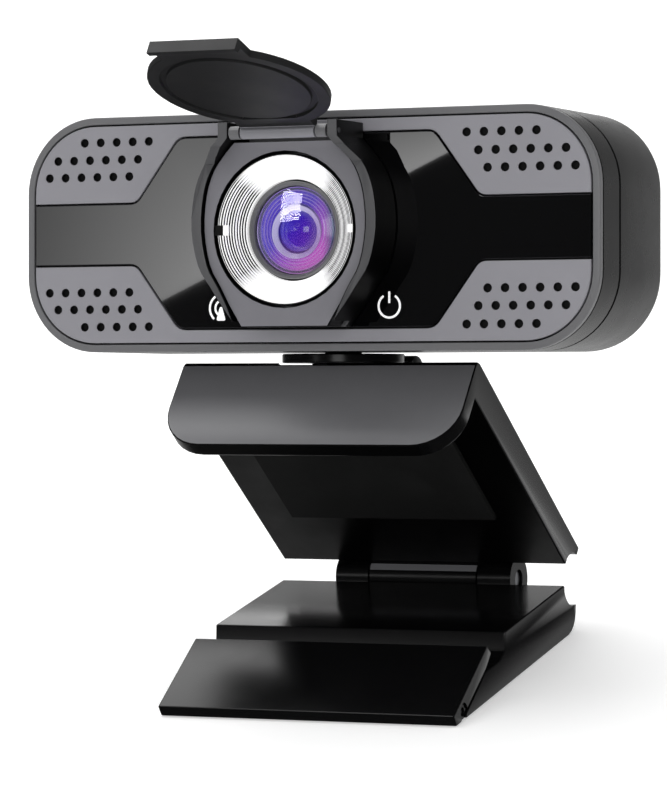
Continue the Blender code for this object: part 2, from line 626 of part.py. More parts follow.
def make_lens():
    """Focus ring, glass and the barrel behind it."""
    outer = RING_RADIUS - GAP
    front = PLATE_FRONT + RING_SUNK
    profile = [(outer, front), (outer, RING_BACK - GAP), (RING_INNER, RING_BACK - GAP),
               (RING_INNER, RING_INNER_DEPTH), (outer - RING_FLAT, front)]
    ring = turned("focus_ring", profile, 48)
    for hand in (-1, 1):
        low, high = sorted((hand * (outer + WALL), hand * (outer - RING_FLAT - GAP)))
        cut(ring, box("grip_notch", (low, front - WALL, -NOTCH_HALF), (high, front + NOTCH_DEEP, NOTCH_HALF),
                      CUTTERS))
    finish(ring, "silver", HEAD, LENS_PIVOT)

    bezel = turned("lens_bezel", [(RING_INNER - GAP, RING_INNER_DEPTH), (RING_INNER - GAP, RING_BACK - GAP),
                                  (LENS_RADIUS + GAP, RING_BACK - GAP), (LENS_RADIUS + GAP,
                                                                         RING_INNER_DEPTH + 0.0003)],
                   40)
    finish(bezel, "bezel_grey", HEAD, PAN_PIVOT)

    barrel = turned("lens_barrel", [(BARREL_RADIUS, RING_BACK), (BARREL_RADIUS, BARREL_BACK),
                                    (BARREL_RADIUS - BARREL_WALL, BARREL_BACK),
                                    (BARREL_RADIUS - BARREL_WALL, RING_BACK)], 32)
    finish(barrel, "matte_black", HEAD, PAN_PIVOT)

    rim_y = RING_INNER_DEPTH + 0.0010
    glass_profile = [(0.0, rim_y - LENS_DOME)]
    for step in range(1, 6):
        angle = math.radians(90 * step / 5)
        glass_profile.append((LENS_RADIUS * math.sin(angle), rim_y - LENS_DOME * math.cos(angle)))
    glass = dome("front_lens", glass_profile[1:], rim_y + 0.0003, rim_y - LENS_DOME)
    finish(glass, "lens_violet", HEAD, PAN_PIVOT)

    inner_r = BARREL_RADIUS - BARREL_WALL - GAP
    stack = (("aperture_ring", "matte_black", RING_BACK + 0.0004, 0.0012, inner_r, 0.0030),
             ("middle_lens", "lens_rose", RING_BACK + 0.0020, 0.0018, inner_r, 0.0),
             ("rear_lens", "lens_violet", RING_BACK + 0.0044, 0.0018, inner_r, 0.0),
             ("infrared_filter", "lens_rose", RING_BACK + 0.0080, 0.0005, inner_r, 0.0))
    for name, slot, start, depth, radius, bore in stack:
        if bore:
            piece = turned(name, [(radius, start), (radius, start + depth),
                                  (bore, start + depth), (bore, start)], 24)
        else:
            piece = rod(name, radius, (0, start, 0), depth, "Y", 24)
        finish(piece, slot, HEAD, PAN_PIVOT)


def dome(name, profile, back, top):
    """A shallow lens: turned front with a flat back."""
    sides = 32
    bm = bmesh.new()
    apex = bm.verts.new((0, top, 0))
    rings = []
    for radius, depth in profile + [(profile[-1][0], back)]:
        rings.append([bm.verts.new((radius * math.cos(math.tau * i / sides), depth,
                                    radius * math.sin(math.tau * i / sides))) for i in range(sides)])
    for i in range(sides):
        bm.faces.new((apex, rings[0][i], rings[0][(i + 1) % sides]))
    for inner, outer in zip(rings, rings[1:]):
        for i in range(sides):
            j = (i + 1) % sides
            bm.faces.new((inner[i], outer[i], outer[j], inner[j]))
    bm.faces.new(rings[-1])
    bmesh.ops.recalc_face_normals(bm, faces=bm.faces)
    return from_bmesh(name, bm)


def make_cover():
    """Flip-up disc that hides the lens, its pin and two bushes."""
    face = COVER_BARREL * 0.5
    disc = rod("privacy_cover", COVER_DISC, (0, -face - COVER_THICK, -COVER_REACH), COVER_THICK, "Y", 48)
    neck_half = COVER_TAB_HALF - 3 * GAP
    neck = box("cover_neck", (-neck_half, -face - COVER_THICK, -COVER_REACH / 2), (neck_half, -face,
                                                                                   -GAP), CUTTERS)
    root, end = -COVER_REACH - COVER_DISC * 0.75, -COVER_TAB_END
    tab = flat("cover_tab", [[(-face - COVER_THICK, root), (-face, root), (-face, end + 1.4 * COVER_LIP),
                              (COVER_LIP - face, end + 0.6 * COVER_LIP), (COVER_LIP - face,
                                                                          end - 0.5 * COVER_LIP),
                              (-face - COVER_THICK, end)]],
               -COVER_TAB_HALF, COVER_TAB_HALF, "YZ", CUTTERS)
    barrel = rod("cover_barrel", COVER_BARREL, (-COVER_BARREL_HALF, 0, 0), 2 * COVER_BARREL_HALF, "X", 16,
                 CUTTERS)
    join(disc, neck, tab, barrel)
    wide = COVER_DISC - COVER_GROOVE_EDGE
    groove = turned("cover_groove", [(wide, -face - COVER_GROOVE_DEEP), (wide, 0),
                                     (wide - COVER_GROOVE_WIDE, 0),
                                     (wide - COVER_GROOVE_WIDE, -face - COVER_GROOVE_DEEP)], 48, CUTTERS)
    groove.data.transform(Matrix.Translation((0, 0, -COVER_REACH)))
    near_hinge = box("near_hinge", (-COVER_DISC, -face - COVER_THICK, -COVER_REACH + wide * 0.93),
                     (COVER_DISC, WALL, COVER_DISC), CUTTERS)
    bore = rod("cover_bore", COVER_PIN + COVER_FIT, (-EAR_HALF, 0, 0), 2 * EAR_HALF, "X", 10, CUTTERS)
    cut(disc, cut(groove, near_hinge), bore)
    finish(disc, "matte_black", COVER, COVER_PIVOT)

    pin_half = EAR_HALF - PIN_SHORT
    pin = rod("cover_pin", COVER_PIN, (-pin_half, COVER_AXIS_Y, COVER_AXIS_Z), 2 * pin_half, "X", 10)
    finish(pin, "steel", HEAD, PAN_PIVOT)
    for hand, name in ((-1, "cover_bush_left"), (1, "cover_bush_right")):
        near_end = COVER_BARREL_HALF + GAP
        length = EAR_HALF - RIM_WALL - GAP - near_end
        start = near_end if hand > 0 else -near_end - length
        bush = rod(name, COVER_BARREL, (start, COVER_AXIS_Y, COVER_AXIS_Z), length, "X", 16)
        cut(bush, rod("bush_bore", COVER_PIN + COVER_FIT, (start - WALL, COVER_AXIS_Y, COVER_AXIS_Z),
                      length + 2 * WALL, "X", 10, CUTTERS))
        finish(bush, "bezel_grey", HEAD, PAN_PIVOT)


# ---------------------------------------------------------------- camera inside
def make_electronics():
    """Boards, sensor, microphones, cable outlet and case screws."""
    sensor_y = BARREL_BACK + GAP + BARREL_WALL
    sensor = box("image_sensor", (-SENSOR_HALF_X, sensor_y - SENSOR_THICK, -SENSOR_HALF_Z),
                 (SENSOR_HALF_X, sensor_y, SENSOR_HALF_Z))
    finish(sensor, "sensor_blue", HEAD, PAN_PIVOT)
    board_y = sensor_y + GAP
    side = SENSOR_BOARD_HALF
    board = box("sensor_board", (-side, board_y, -side), (side, board_y + BOARD_THICK, side))
    finish(board, "board_green", HEAD, PAN_PIVOT)
    main_y = board_y + BOARD_THICK + BOARD_SPACE
    reach_x, reach_z = SCREW_X - SCREW_HEAD - 4 * GAP, BODY_HEIGHT / 2 - WALL - 0.0035
    main = box("main_board", (-reach_x, main_y, -reach_z + 0.0030), (reach_x, main_y + BOARD_THICK, reach_z))
    finish(main, "board_green", HEAD, PAN_PIVOT)
    chip = box("video_chip", (CHIP_LOW[0], main_y - GAP - CHIP_THICK, CHIP_LOW[1]),
               (CHIP_HIGH[0], main_y - GAP, CHIP_HIGH[1]))
    finish(chip, "chip_black", HEAD, PAN_PIVOT)
    link = box("board_connector", (-PLUG_HALF, board_y + BOARD_THICK + GAP, PLUG_LOW),
               (PLUG_HALF, main_y - GAP, PLUG_HIGH))
    finish(link, "icon_white", HEAD, PAN_PIVOT)
    mic_y = FACE_DEPTH + CARRIER_DEPTH + 2 * GAP
    for hand, name in ((-1, "microphone_left"), (1, "microphone_right")):
        mic = rod(name, MIC_RADIUS, (hand * MIC_X, mic_y, MIC_Z), MIC_THICK, "Y", 20)
        finish(mic, "steel", HEAD, PAN_PIVOT)

    outlet = rod("cable_grommet", CABLE_BORE + GROMMET_WALL, (CABLE_X, BODY_DEPTH - WALL - GROMMET_WALL,
                                                              CABLE_Z),
                 WALL + GROMMET_WALL + 0.0008, "Y", 16)
    cut(outlet, rod("grommet_bore", CABLE_BORE, (CABLE_X, 0, CABLE_Z), 2 * BODY_DEPTH, "Y", 12, CUTTERS))
    finish(outlet, "rubber", HEAD, PAN_PIVOT)

    for index, (x, z) in enumerate(screw_places(), 1):
        head_y = BODY_DEPTH - WALL / 2 + GAP
        screw = rod(f"case_screw_{index}", SCREW_HEAD, (x, head_y, z), WALL / 2 - 2 * GAP, "Y", 12)
        join(screw, rod("shank", SCREW_SHANK, (x, SEAM_DEPTH + 0.002, z), head_y - SEAM_DEPTH - 0.0018,
                        "Y", 8, CUTTERS))
        finish(screw, "steel", HEAD, PAN_PIVOT)


# ------------------------------------------------------------- swivel and tilt
def make_swivel():
    """Disc that the body turns on, with the knuckle that tilts."""
    bottom = DISC_TOP - DISC_THICK
    disc = rod("swivel_disc", DISC_RADIUS, (0, PAN_Y, bottom), DISC_THICK, "Z", 48)
    inside = -BODY_HEIGHT / 2 + WALL + GAP
    boss = rod("swivel_boss", BOSS_RADIUS, (0, PAN_Y, bottom + DISC_THICK / 2),
               inside - bottom - DISC_THICK / 2,
               "Z", 20, CUTTERS)
    knuckle = rod("tilt_knuckle", TILT_KNUCKLE, (-TILT_KNUCKLE_HALF, TILT_Y, TILT_Z), 2 * TILT_KNUCKLE_HALF,
                  "X", 24, CUTTERS)
    web = box("tilt_web", (-TILT_KNUCKLE_HALF, TILT_Y - 0.0052, TILT_Z - 0.0002),
              (TILT_KNUCKLE_HALF, TILT_Y, bottom + 0.0004), CUTTERS)
    join(disc, boss)
    for hand in (-1, 1):
        low, high = sorted((hand * (TILT_KNUCKLE_HALF + RUN / 2), hand * (TILT_EAR_HALF + RUN)))
        cut(disc, rod("ear_clearance", TILT_KNUCKLE + RUN, (low, TILT_Y, TILT_Z), high - low, "X", 32,
                      CUTTERS))
    join(disc, web, knuckle)
    cut(disc, rod("tilt_bore", TILT_PIN + RUN, (-0.02, TILT_Y, TILT_Z), 0.04, "X", 12, CUTTERS),
        rod("pan_bore", PAN_SCREW + RUN, (0, PAN_Y, bottom + DISC_THICK / 2), 0.01, "Z", 12, CUTTERS))
    finish(disc, "gloss_black", HEAD, TILT_PIVOT)

    washer = rod("pan_washer", BOSS_RADIUS + WASHER_LIP, (0, PAN_Y, inside + GAP), WASHER_THICK, "Z", 24)
    cut(washer, rod("washer_bore", PAN_SCREW + RUN, (0, PAN_Y, inside - WALL), 4 * WALL, "Z", 12, CUTTERS))
    finish(washer, "steel", HEAD, TILT_PIVOT)
    head_z = inside + GAP + WASHER_THICK + GAP
    screw = rod("pan_screw", PAN_SCREW_HEAD, (0, PAN_Y, head_z), PAN_SCREW, "Z", 20)
    join(screw, rod("pan_shank", PAN_SCREW, (0, PAN_Y, head_z - BOSS_RADIUS), BOSS_RADIUS + GAP, "Z", 12,
                    CUTTERS))
    finish(screw, "steel", HEAD, TILT_PIVOT)

    pin_half = TILT_EAR_HALF - PIN_SHORT
    pin = rod("tilt_pin", TILT_PIN, (-pin_half, TILT_Y, TILT_Z), 2 * pin_half, "X", 12)
    finish(pin, "steel", HEAD, CLIP_PIVOT)


# ------------------------------------------------------------------- clip stand
def bracket_outline():
    """Side view of the bracket: lip, outer corner, sloping plate."""
    inner = APEX - PLATE_OUT * PLATE_THICK
    sink = (LIP_THICK - (inner - APEX).dot(LIP_IN)) / PLATE_ALONG.dot(LIP_IN)
    inner_corner = inner + PLATE_ALONG * sink
    turn = [APEX + LIP_ALONG * APEX_ROUND, APEX + (LIP_ALONG + PLATE_ALONG) * APEX_ROUND * 0.27,
            APEX + PLATE_ALONG * APEX_ROUND]
    tip = APEX + LIP_ALONG * LIP_LENGTH
    end = APEX + PLATE_ALONG * PLATE_LENGTH
    points = [tip] + turn + [end, end - PLATE_OUT * PLATE_THICK, inner_corner, tip + LIP_IN * LIP_THICK]
    return [(point.y, point.z) for point in points]


def make_bracket():
    """L-shaped bracket: front lip, plate, tilt ears and its hinge knuckle."""
    half = CLIP_WIDTH / 2
    bracket = flat("bracket", [bracket_outline()], -half, half, "YZ")
    cut(bracket, rod("barrel_notch", NOTCH_RADIUS, (-half - 0.01, HINGE_Y, HINGE_Z), CLIP_WIDTH + 0.02,
                     "X", 32,
                     CUTTERS))
    for hand in (-1, 1):
        cut(bracket, lip_corner_cutter(hand))
    knuckle_half = HINGE_CENTRE_HALF - GAP / 2
    knuckle = rod("bracket_knuckle", HINGE_BARREL, (-knuckle_half, HINGE_Y, HINGE_Z), 2 * knuckle_half,
                  "X", 32,
                  CUTTERS)
    rise = Vector((0, HINGE_Y, HINGE_Z)) - PLATE_ALONG * 0.0068
    web = flat("knuckle_web", [[(HINGE_Y, HINGE_Z),
                                (HINGE_Y + PLATE_OUT.y * HINGE_BARREL * 0.9,
                                 HINGE_Z + PLATE_OUT.z * HINGE_BARREL * 0.9),
                                (rise.y + PLATE_OUT.y * HINGE_BARREL * 0.9,
                                 rise.z + PLATE_OUT.z * HINGE_BARREL * 0.9),
                                (rise.y + PLATE_OUT.y * 0.0006, rise.z + PLATE_OUT.z * 0.0006)]],
               -knuckle_half, knuckle_half, "YZ", CUTTERS)
    join(bracket, web, knuckle)
    # ears that hold the tilt pin
    axis = HEAD @ Vector((0, TILT_Y, TILT_Z))
    foot = axis - PLATE_OUT * ((axis - APEX).dot(PLATE_OUT) + 0.0008)
    for hand in (-1, 1):
        low, high = sorted((hand * (TILT_KNUCKLE_HALF + RUN), hand * TILT_EAR_HALF))
        side = PLATE_ALONG * TILT_KNUCKLE
        corners = (axis - side, foot - side * 1.3, foot + side * 1.3, axis + side)
        join(bracket, flat("ear_post", [[(p.y, p.z) for p in corners]], low, high, "YZ", CUTTERS))
    cut(bracket, disc_pocket())
    for hand in (-1, 1):
        low, high = sorted((hand * (TILT_KNUCKLE_HALF + RUN), hand * TILT_EAR_HALF))
        join(bracket, rod("tilt_ear", TILT_KNUCKLE, (low, axis.y, axis.z), high - low, "X", 24, CUTTERS))
    cut(bracket, rod("ear_bore", TILT_PIN + RUN, (-0.02, axis.y, axis.z), 0.04, "X", 12, CUTTERS),
        rod("hinge_bore", HINGE_PIN + RUN, (-0.03, HINGE_Y, HINGE_Z), 0.06, "X", 14, CUTTERS))
    finish(bracket, "gloss_black", WORLD, CLIP_PIVOT)


def disc_pocket():
    """Shallow seat in the bracket's corner that clears the swivel disc."""
    bottom = DISC_TOP - DISC_THICK - GAP
    pocket = rod("disc_pocket", DISC_RADIUS + 2 * GAP, (0, PAN_Y, bottom), 0.01, "Z", 48, CUTTERS)
    pocket.data.transform(HEAD)
    return pocket


def lip_corner_cutter(hand):
    """What is taken off one lower corner of the lip to round it."""
    half = CLIP_WIDTH / 2
    centre = (hand * (half - LIP_CORNER), LIP_LENGTH - LIP_CORNER)
    points = arc(centre, LIP_CORNER, 0 if hand > 0 else 180, 90, 8)
    far = 0.004
    points += [(hand * (half - LIP_CORNER), LIP_LENGTH + far), (hand * (half + far), LIP_LENGTH + far),
               (hand * (half + far), LIP_LENGTH - LIP_CORNER)]
    cutter = flat("lip_corner", [points], -0.004, LIP_THICK + 0.004, "XY", CUTTERS)
    across = Vector((1, 0, 0))
    turn = Matrix((across, LIP_ALONG, LIP_IN)).transposed().to_4x4()
    cutter.data.transform(Matrix.Translation(APEX) @ turn)
    if turn.determinant() < 0:
        cutter.data.flip_normals()
    return cutter


def base_outline():
    """Side view of the base block, without the hinge notch."""
    along = Vector((math.cos(FOOT_SLOPE), math.sin(FOOT_SLOPE)))
    below = Vector((math.sin(FOOT_SLOPE), -math.cos(FOOT_SLOPE)))
    face = Vector((FOOT_FRONT_Y, FOOT_FRONT_Z)) + below * (FOOT_THICK + GAP)
    start = face + along * ((PAD_THICK - face.y) / along.y)
    top = face + along * ((GROOVE_FLOOR - face.y) / along.y)
    rear = arc((BASE_REAR - 0.0040, 0.0040), 0.0040, -90, 0, 5)
    return ([(start.x, 0.0), (start.x, PAD_THICK), (top.x, top.y), (BASE_TOP_FRONT - 0.0030, GROOVE_FLOOR)]
            + [(BASE_TOP_FRONT - 0.0008, GROOVE_FLOOR + 0.0010), (BASE_TOP_FRONT, BASE_TOP)]
            + [(BASE_REAR, BASE_TOP)] + rear[::-1])


def make_base():
    """Base block with the outer hinge knuckles and the tripod socket."""
    half = CLIP_WIDTH / 2
    base = flat("base_block", [base_outline()], -half, half, "YZ")
    round_edges(base, lambda co: near(co.z, 0) and near(abs(co.x), half), BASE_SIDE_ROUND, 4)
    cut(base, rod("base_notch", BASE_NOTCH, (-half - 0.01, HINGE_Y, HINGE_Z), CLIP_WIDTH + 0.02, "X", 32,
                  CUTTERS))
    start = HINGE_CENTRE_HALF + GAP / 2
    for hand in (-1, 1):
        low, high = sorted((hand * start, hand * HINGE_HALF))
        knuckle = rod("base_knuckle", HINGE_BARREL, (low, HINGE_Y, HINGE_Z), high - low, "X", 32, CUTTERS)
        web = flat("base_web", [[(HINGE_Y - HINGE_BARREL - 0.0014, GROOVE_FLOOR - 0.001),
                                 (HINGE_Y, GROOVE_FLOOR - 0.001),
                                 (HINGE_Y, HINGE_Z), (HINGE_Y - HINGE_BARREL - 0.0014, HINGE_Z)]],
                   low, high, "YZ", CUTTERS)
        join(base, web, knuckle)
    cut(base, rod("pin_bore", HINGE_PIN + RUN, (-0.03, HINGE_Y, HINGE_Z), 0.06, "X", 14, CUTTERS),
        rod("socket_bore", SOCKET_OUTER + GAP, (0, SOCKET_Y, -0.001), SOCKET_DEPTH + GAP + 0.001, "Z", 24,
            CUTTERS))
    for low, high in foot_knuckle_spans():
        cut(base, hinge_rod("foot_room", FOOT_KNUCKLE + RUN, low - GAP, high + GAP))
    for low, high in base_lug_spans():
        join(base, hinge_rod("base_lug", FOOT_KNUCKLE, low, high))
    cut(base, hinge_rod("foot_pin_bore", FOOT_PIN + RUN, -half - GAP, half + GAP, 10))
    for cutter in pad_recesses():
        cut(base, cutter)
    finish(base, "gloss_black", WORLD, BASE_PIVOT)

    pin_half = HINGE_HALF - 2 * PIN_SHORT
    pin = rod("hinge_pin", HINGE_PIN, (-pin_half, HINGE_Y, HINGE_Z), 2 * pin_half, "X", 14)
    finish(pin, "steel", WORLD, BASE_PIVOT)

    socket = rod("tripod_socket", SOCKET_OUTER, (0, SOCKET_Y, 0.0002), SOCKET_DEPTH - 0.0002, "Z", 24)
    cut(socket, rod("thread_bore", SOCKET_BORE, (0, SOCKET_Y, -0.001), SOCKET_DEPTH, "Z", 20, CUTTERS))
    finish(socket, "brass", WORLD, BASE_PIVOT)


def pad_places():
    return (("base_pad_left", -PAD_X), ("base_pad_right", PAD_X))


def pad_recesses():
    """Shallow seats for the rubber strips in the underside."""
    return [box("pad_seat", (x - PAD_WIDTH / 2 - GAP, PAD_FRONT - GAP, -0.001),
                (x + PAD_WIDTH / 2 + GAP, PAD_REAR + GAP, PAD_THICK), CUTTERS) for _, x in pad_places()]


def make_pads():
    """Rubber strips under the base and on the gripping faces."""
    for name, x in pad_places():
        pad = box(name, (x - PAD_WIDTH / 2, PAD_FRONT, 0), (x + PAD_WIDTH / 2, PAD_REAR, PAD_THICK - GAP))
        finish(pad, "rubber", WORLD, BASE_PIVOT)
    # one on the back of the lip, one on the inner face of the plate
    half = CLIP_WIDTH / 2 - LIP_CORNER
    inner = APEX - PLATE_OUT * (PLATE_THICK + GAP)
    plate_pad = strip("plate_pad", inner + PLATE_ALONG * PLATE_PAD_START, PLATE_ALONG, -PLATE_OUT,
                      PLATE_PAD_LONG, half)
    finish(plate_pad, "rubber", WORLD, CLIP_PIVOT)
    back = APEX + LIP_IN * (LIP_THICK + GAP)
    lip_pad = strip("lip_pad", back + LIP_ALONG * LIP_PAD_START, LIP_ALONG, LIP_IN, LIP_PAD_LONG, half)
    finish(lip_pad, "rubber", WORLD, CLIP_PIVOT)


def strip(name, start, along, out, length, half):
    """A thin pad of the given length standing on a sloping face."""
    corners = [start, start + along * length, start + along * length + out * PAD_THICK,
               start + out * PAD_THICK]
    return flat(name, [[(p.y, p.z) for p in corners]], -half, half, "YZ")


# ------------------------------------------------------------------------ foot
def foot_knuckle_spans():
    """Where the foot's two knuckles lie along X."""
    centre = CLIP_WIDTH / 4
    return [(hand * centre - FOOT_KNUCKLE_SPAN / 2,
             hand * centre + FOOT_KNUCKLE_SPAN / 2) for hand in (-1, 1)]


def base_lug_spans():
    """The stretches between and outside the foot's knuckles, where the base holds the pin."""
    half = CLIP_WIDTH / 2
    (first, second), (third, fourth) = foot_knuckle_spans()
    return [(-half + GAP, first - GAP), (second + GAP, third - GAP), (fourth + GAP, half - GAP)]


def hinge_rod(name, radius, low, high, sides=16):
    """A cylinder along the foot's hinge line."""
    return rod(name, radius, (low, FOOT_AXIS.y, FOOT_AXIS.z), high - low, "X", sides, CUTTERS)


def make_foot():
    """Flip-out foot that lies on the base's sloping front, and its pin."""
    half = CLIP_WIDTH / 2
    rest = (FOOT_THICK * math.cos(FOOT_SLOPE) - FOOT_FRONT_Z) / math.sin(FOOT_SLOPE)
    foot = flat("foot_flap", [[(0, 0), (FOOT_LENGTH, 0), (FOOT_LENGTH + 0.0008, -0.0021),
                               (FOOT_LENGTH - 0.0026, -FOOT_THICK), (rest, -FOOT_THICK),
                               (0, -FOOT_FRONT_Z / math.cos(FOOT_SLOPE))]], -half, half, "YZ")
    foot.data.transform(FOOT_TURN)
    for low, high in base_lug_spans():
        cut(foot, hinge_rod("lug_room", FOOT_KNUCKLE + RUN, low - 2 * GAP, high + 2 * GAP))
    for low, high in foot_knuckle_spans():
        join(foot, hinge_rod("foot_knuckle", FOOT_KNUCKLE, low + GAP / 2, high - GAP / 2))
    cut(foot, hinge_rod("foot_bore", FOOT_PIN + RUN, -half, half, 10))
    finish(foot, "gloss_black", WORLD, FOOT_PIVOT)
    pin_half = half - FOOT_PIN_SHORT
    pin = rod("foot_pin", FOOT_PIN, (-pin_half, FOOT_AXIS.y, FOOT_AXIS.z), 2 * pin_half, "X", 10)
    finish(pin, "steel", WORLD, BASE_PIVOT)


make_casings()
make_face()
make_indicators()
make_carrier()
make_housing()
make_lens()
make_cover()
make_electronics()
make_swivel()
make_bracket()
make_base()
make_pads()
make_foot()
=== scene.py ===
"""Looks of a wide webcam with a flip-up lens cover on a folding clip stand.

Redrawn pieces are made in millimetres in the camera head's frame and placed in the
world, in metres, when they are finished. The lens housing, the cover and the stand are
copies of the part's own solids with their edges eased.
"""
import json
import math

import bmesh
import bpy
from mathutils import Matrix, Vector


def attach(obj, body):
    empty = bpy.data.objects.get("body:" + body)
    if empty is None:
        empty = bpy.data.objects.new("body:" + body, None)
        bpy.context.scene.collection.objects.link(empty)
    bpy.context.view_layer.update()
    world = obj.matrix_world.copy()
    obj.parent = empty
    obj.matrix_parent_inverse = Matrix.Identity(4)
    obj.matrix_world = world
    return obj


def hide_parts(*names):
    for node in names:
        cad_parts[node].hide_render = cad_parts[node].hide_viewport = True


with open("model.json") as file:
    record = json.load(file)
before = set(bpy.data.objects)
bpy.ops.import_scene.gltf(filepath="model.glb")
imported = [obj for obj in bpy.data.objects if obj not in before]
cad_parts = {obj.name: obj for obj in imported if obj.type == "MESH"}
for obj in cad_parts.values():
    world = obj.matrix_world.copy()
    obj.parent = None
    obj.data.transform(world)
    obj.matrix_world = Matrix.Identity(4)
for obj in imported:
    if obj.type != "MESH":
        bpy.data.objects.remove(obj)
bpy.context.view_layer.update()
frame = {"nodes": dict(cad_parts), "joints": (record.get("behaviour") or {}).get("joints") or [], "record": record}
NODES = frame["nodes"]
JOINTS = {joint["name"]: joint for joint in frame["joints"]}

# ------------------------------------------------------------------- frames
MM = Matrix.Scale(0.001, 4)
RIGHT = Vector((1, 0, 0))
UP = Vector(JOINTS["head_pan"]["axis"]).normalized()
TURN = Matrix((RIGHT, UP.cross(RIGHT), UP)).transposed().to_4x4()
HEAD = Matrix.Translation(JOINTS["focus_turn"]["pos_m"]) @ TURN @ MM
COVER_SHUT = math.radians(JOINTS["cover_flip"]["range_deg"][0])
COVER = (Matrix.Translation(JOINTS["cover_flip"]["pos_m"]) @ TURN
         @ Matrix.Rotation(COVER_SHUT, 4, "X") @ MM)


def extent(node, place):
    """Lowest and highest corner of one of the part's nodes, in millimetres in a frame."""
    back = place.inverted()
    points = [back @ vert.co for vert in NODES[node].data.vertices]
    return Vector(map(min, zip(*points))), Vector(map(max, zip(*points)))


# ----------------------------------------------------------------- outlines
QUARTER_STEPS = 16                        # sides of a rounded rectangle's corner
SOFT_STEPS = 4                            # sides of a softened corner


def arc(centre, radius, start, end, steps):
    """Points of an arc, angles in degrees."""
    turns = [math.radians(start + (end - start) * step / steps) for step in range(steps + 1)]
    return [Vector((centre[0] + radius * math.cos(a), centre[1] + radius * math.sin(a))) for a in turns]


def circle(centre, radius, sides):
    return arc(centre, radius, 0, 360, sides)[:-1]


def rounded_rectangle(half_width, half_height, radius):
    x, z = half_width - radius, half_height - radius
    corners = (((x, z), 0), ((-x, z), 90), ((-x, -z), 180), ((x, -z), 270))
    return [point for centre, start in corners
            for point in arc(centre, radius, start, start + 90, QUARTER_STEPS)]


def softened(outline, radius, sharp_from=math.inf):
    """The same closed outline, its corners rounded up to `sharp_from` from the middle."""
    points = []
    for index, corner in enumerate(outline):
        if abs(corner.x) > sharp_from:
            points.append(corner)
            continue
        back = outline[index - 1] - corner
        ahead = outline[(index + 1) % len(outline)] - corner
        reach = min(radius / math.tan(back.angle(ahead) / 2), 0.45 * back.length, 0.45 * ahead.length)
        start, end = corner + back.normalized() * reach, corner + ahead.normalized() * reach
        for step in range(SOFT_STEPS + 1):
            t = step / SOFT_STEPS
            points.append(start.lerp(corner, t).lerp(corner.lerp(end, t), t))
    return points


def moved_in(outline, inset):
    """The closed anticlockwise outline moved inwards."""
    points = []
    for index, point in enumerate(outline):
        before = (point - outline[index - 1]).normalized()
        after = (outline[(index + 1) % len(outline)] - point).normalized()
        inward = Vector((-before.y - after.y, before.x + after.x)).normalized()
        lean = max(inward.dot(Vector((-before.y, before.x))), 0.3)
        points.append(point + inward * inset / lean)
    return points


# -------------------------------------------------------------- shape tools
MERGE_MM, MERGE_M = 1e-4, 1e-7            # doubles closer than this are merged
EASED_FROM = math.radians(35)             # edges sharper than this are eased


def loop(bm, outline, depth):
    """A closed ring of edges in the face plane of the head, `depth` behind it."""
    ring = [bm.verts.new((x, depth, z)) for x, z in outline]
    return [bm.edges.new(pair) for pair in zip(ring, ring[1:] + ring[:1])]


def layered(chains, closed=False):
    """A shape from outlines that each step through (inset, depth) pairs.

    The first and last rings of all chains are filled, or joined when it is a closed band.
    """
    bm = bmesh.new()
    first, last = [], []
    for outline, steps in chains:
        rings = [loop(bm, moved_in(outline, inset), depth) for inset, depth in steps]
        if closed:
            rings.append(rings[0])
        for ring, following in zip(rings, rings[1:]):
            bmesh.ops.bridge_loops(bm, edges=ring + following)
        first += rings[0]
        last += rings[-1]
    if not closed:
        for edges in (first, last):
            bmesh.ops.triangle_fill(bm, use_beauty=True, use_dissolve=False, edges=edges)
    return bm


def turned(profile, sides):
    """A closed (radius, depth) profile turned about the lens axis."""
    bm = bmesh.new()
    line = [bm.verts.new((radius, depth, 0)) for radius, depth in profile]
    edges = [bm.edges.new(pair) for pair in zip(line, line[1:] + line[:1])]
    bmesh.ops.spin(bm, geom=line + edges, cent=(0, 0, 0), axis=(0, 1, 0), angle=math.tau, steps=sides,
                   use_merge=True)
    return bm


def eased(node, width):
    """A merged copy of one of the part's nodes, its edges eased by `width` metres."""
    bm = bmesh.new()
    bm.from_mesh(NODES[node].data)
    bmesh.ops.remove_doubles(bm, verts=bm.verts, dist=2e-6)
    bmesh.ops.dissolve_limit(bm, angle_limit=math.radians(0.5), verts=bm.verts, edges=bm.edges)
    chosen = [edge for edge in bm.edges if len(edge.link_faces) == 2
              and edge.calc_length() > 4 * width and edge.calc_face_angle() > EASED_FROM]
    bmesh.ops.bevel(bm, geom=chosen, affect="EDGES", offset=width, segments=2, profile=0.5,
                    material=-1, clamp_overlap=False)
    return bm


def repaint(bm, test, index=1):
    """Give the faces that pass `test` another of the piece's finishes."""
    bm.normal_update()
    for face in bm.faces:
        if test(face):
            face.material_index = index
    return bm


def piece(name, bm, place, body, materials, replaces=(), sharp=24):
    """Put a finished shape in the world, give it its finish and hang it on its body."""
    bmesh.ops.remove_doubles(bm, verts=bm.verts, dist=MERGE_MM if place else MERGE_M)
    bmesh.ops.recalc_face_normals(bm, faces=bm.faces)
    if place:
        bm.transform(place)
    mesh = bpy.data.meshes.new(name)
    bm.to_mesh(mesh)
    bm.free()
    for material in materials:
        mesh.materials.append(material)
    mesh.shade_smooth()
    mesh.set_sharp_from_angle(angle=math.radians(sharp))
    obj = bpy.data.objects.new(name, mesh)
    bpy.context.scene.collection.objects.link(obj)
    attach(obj, body)
    if replaces:
        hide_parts(*replaces)
    return obj


# ------------------------------------------------------------- material tools
def paint(code):
    """An sRGB hex colour as the linear colour a shader takes."""
    channels = [int(code[i:i + 2], 16) / 255 for i in (1, 3, 5)]
    return (*[c / 12.92 if c <= 0.04045 else ((c + 0.055) / 1.055) ** 2.4 for c in channels], 1.0)


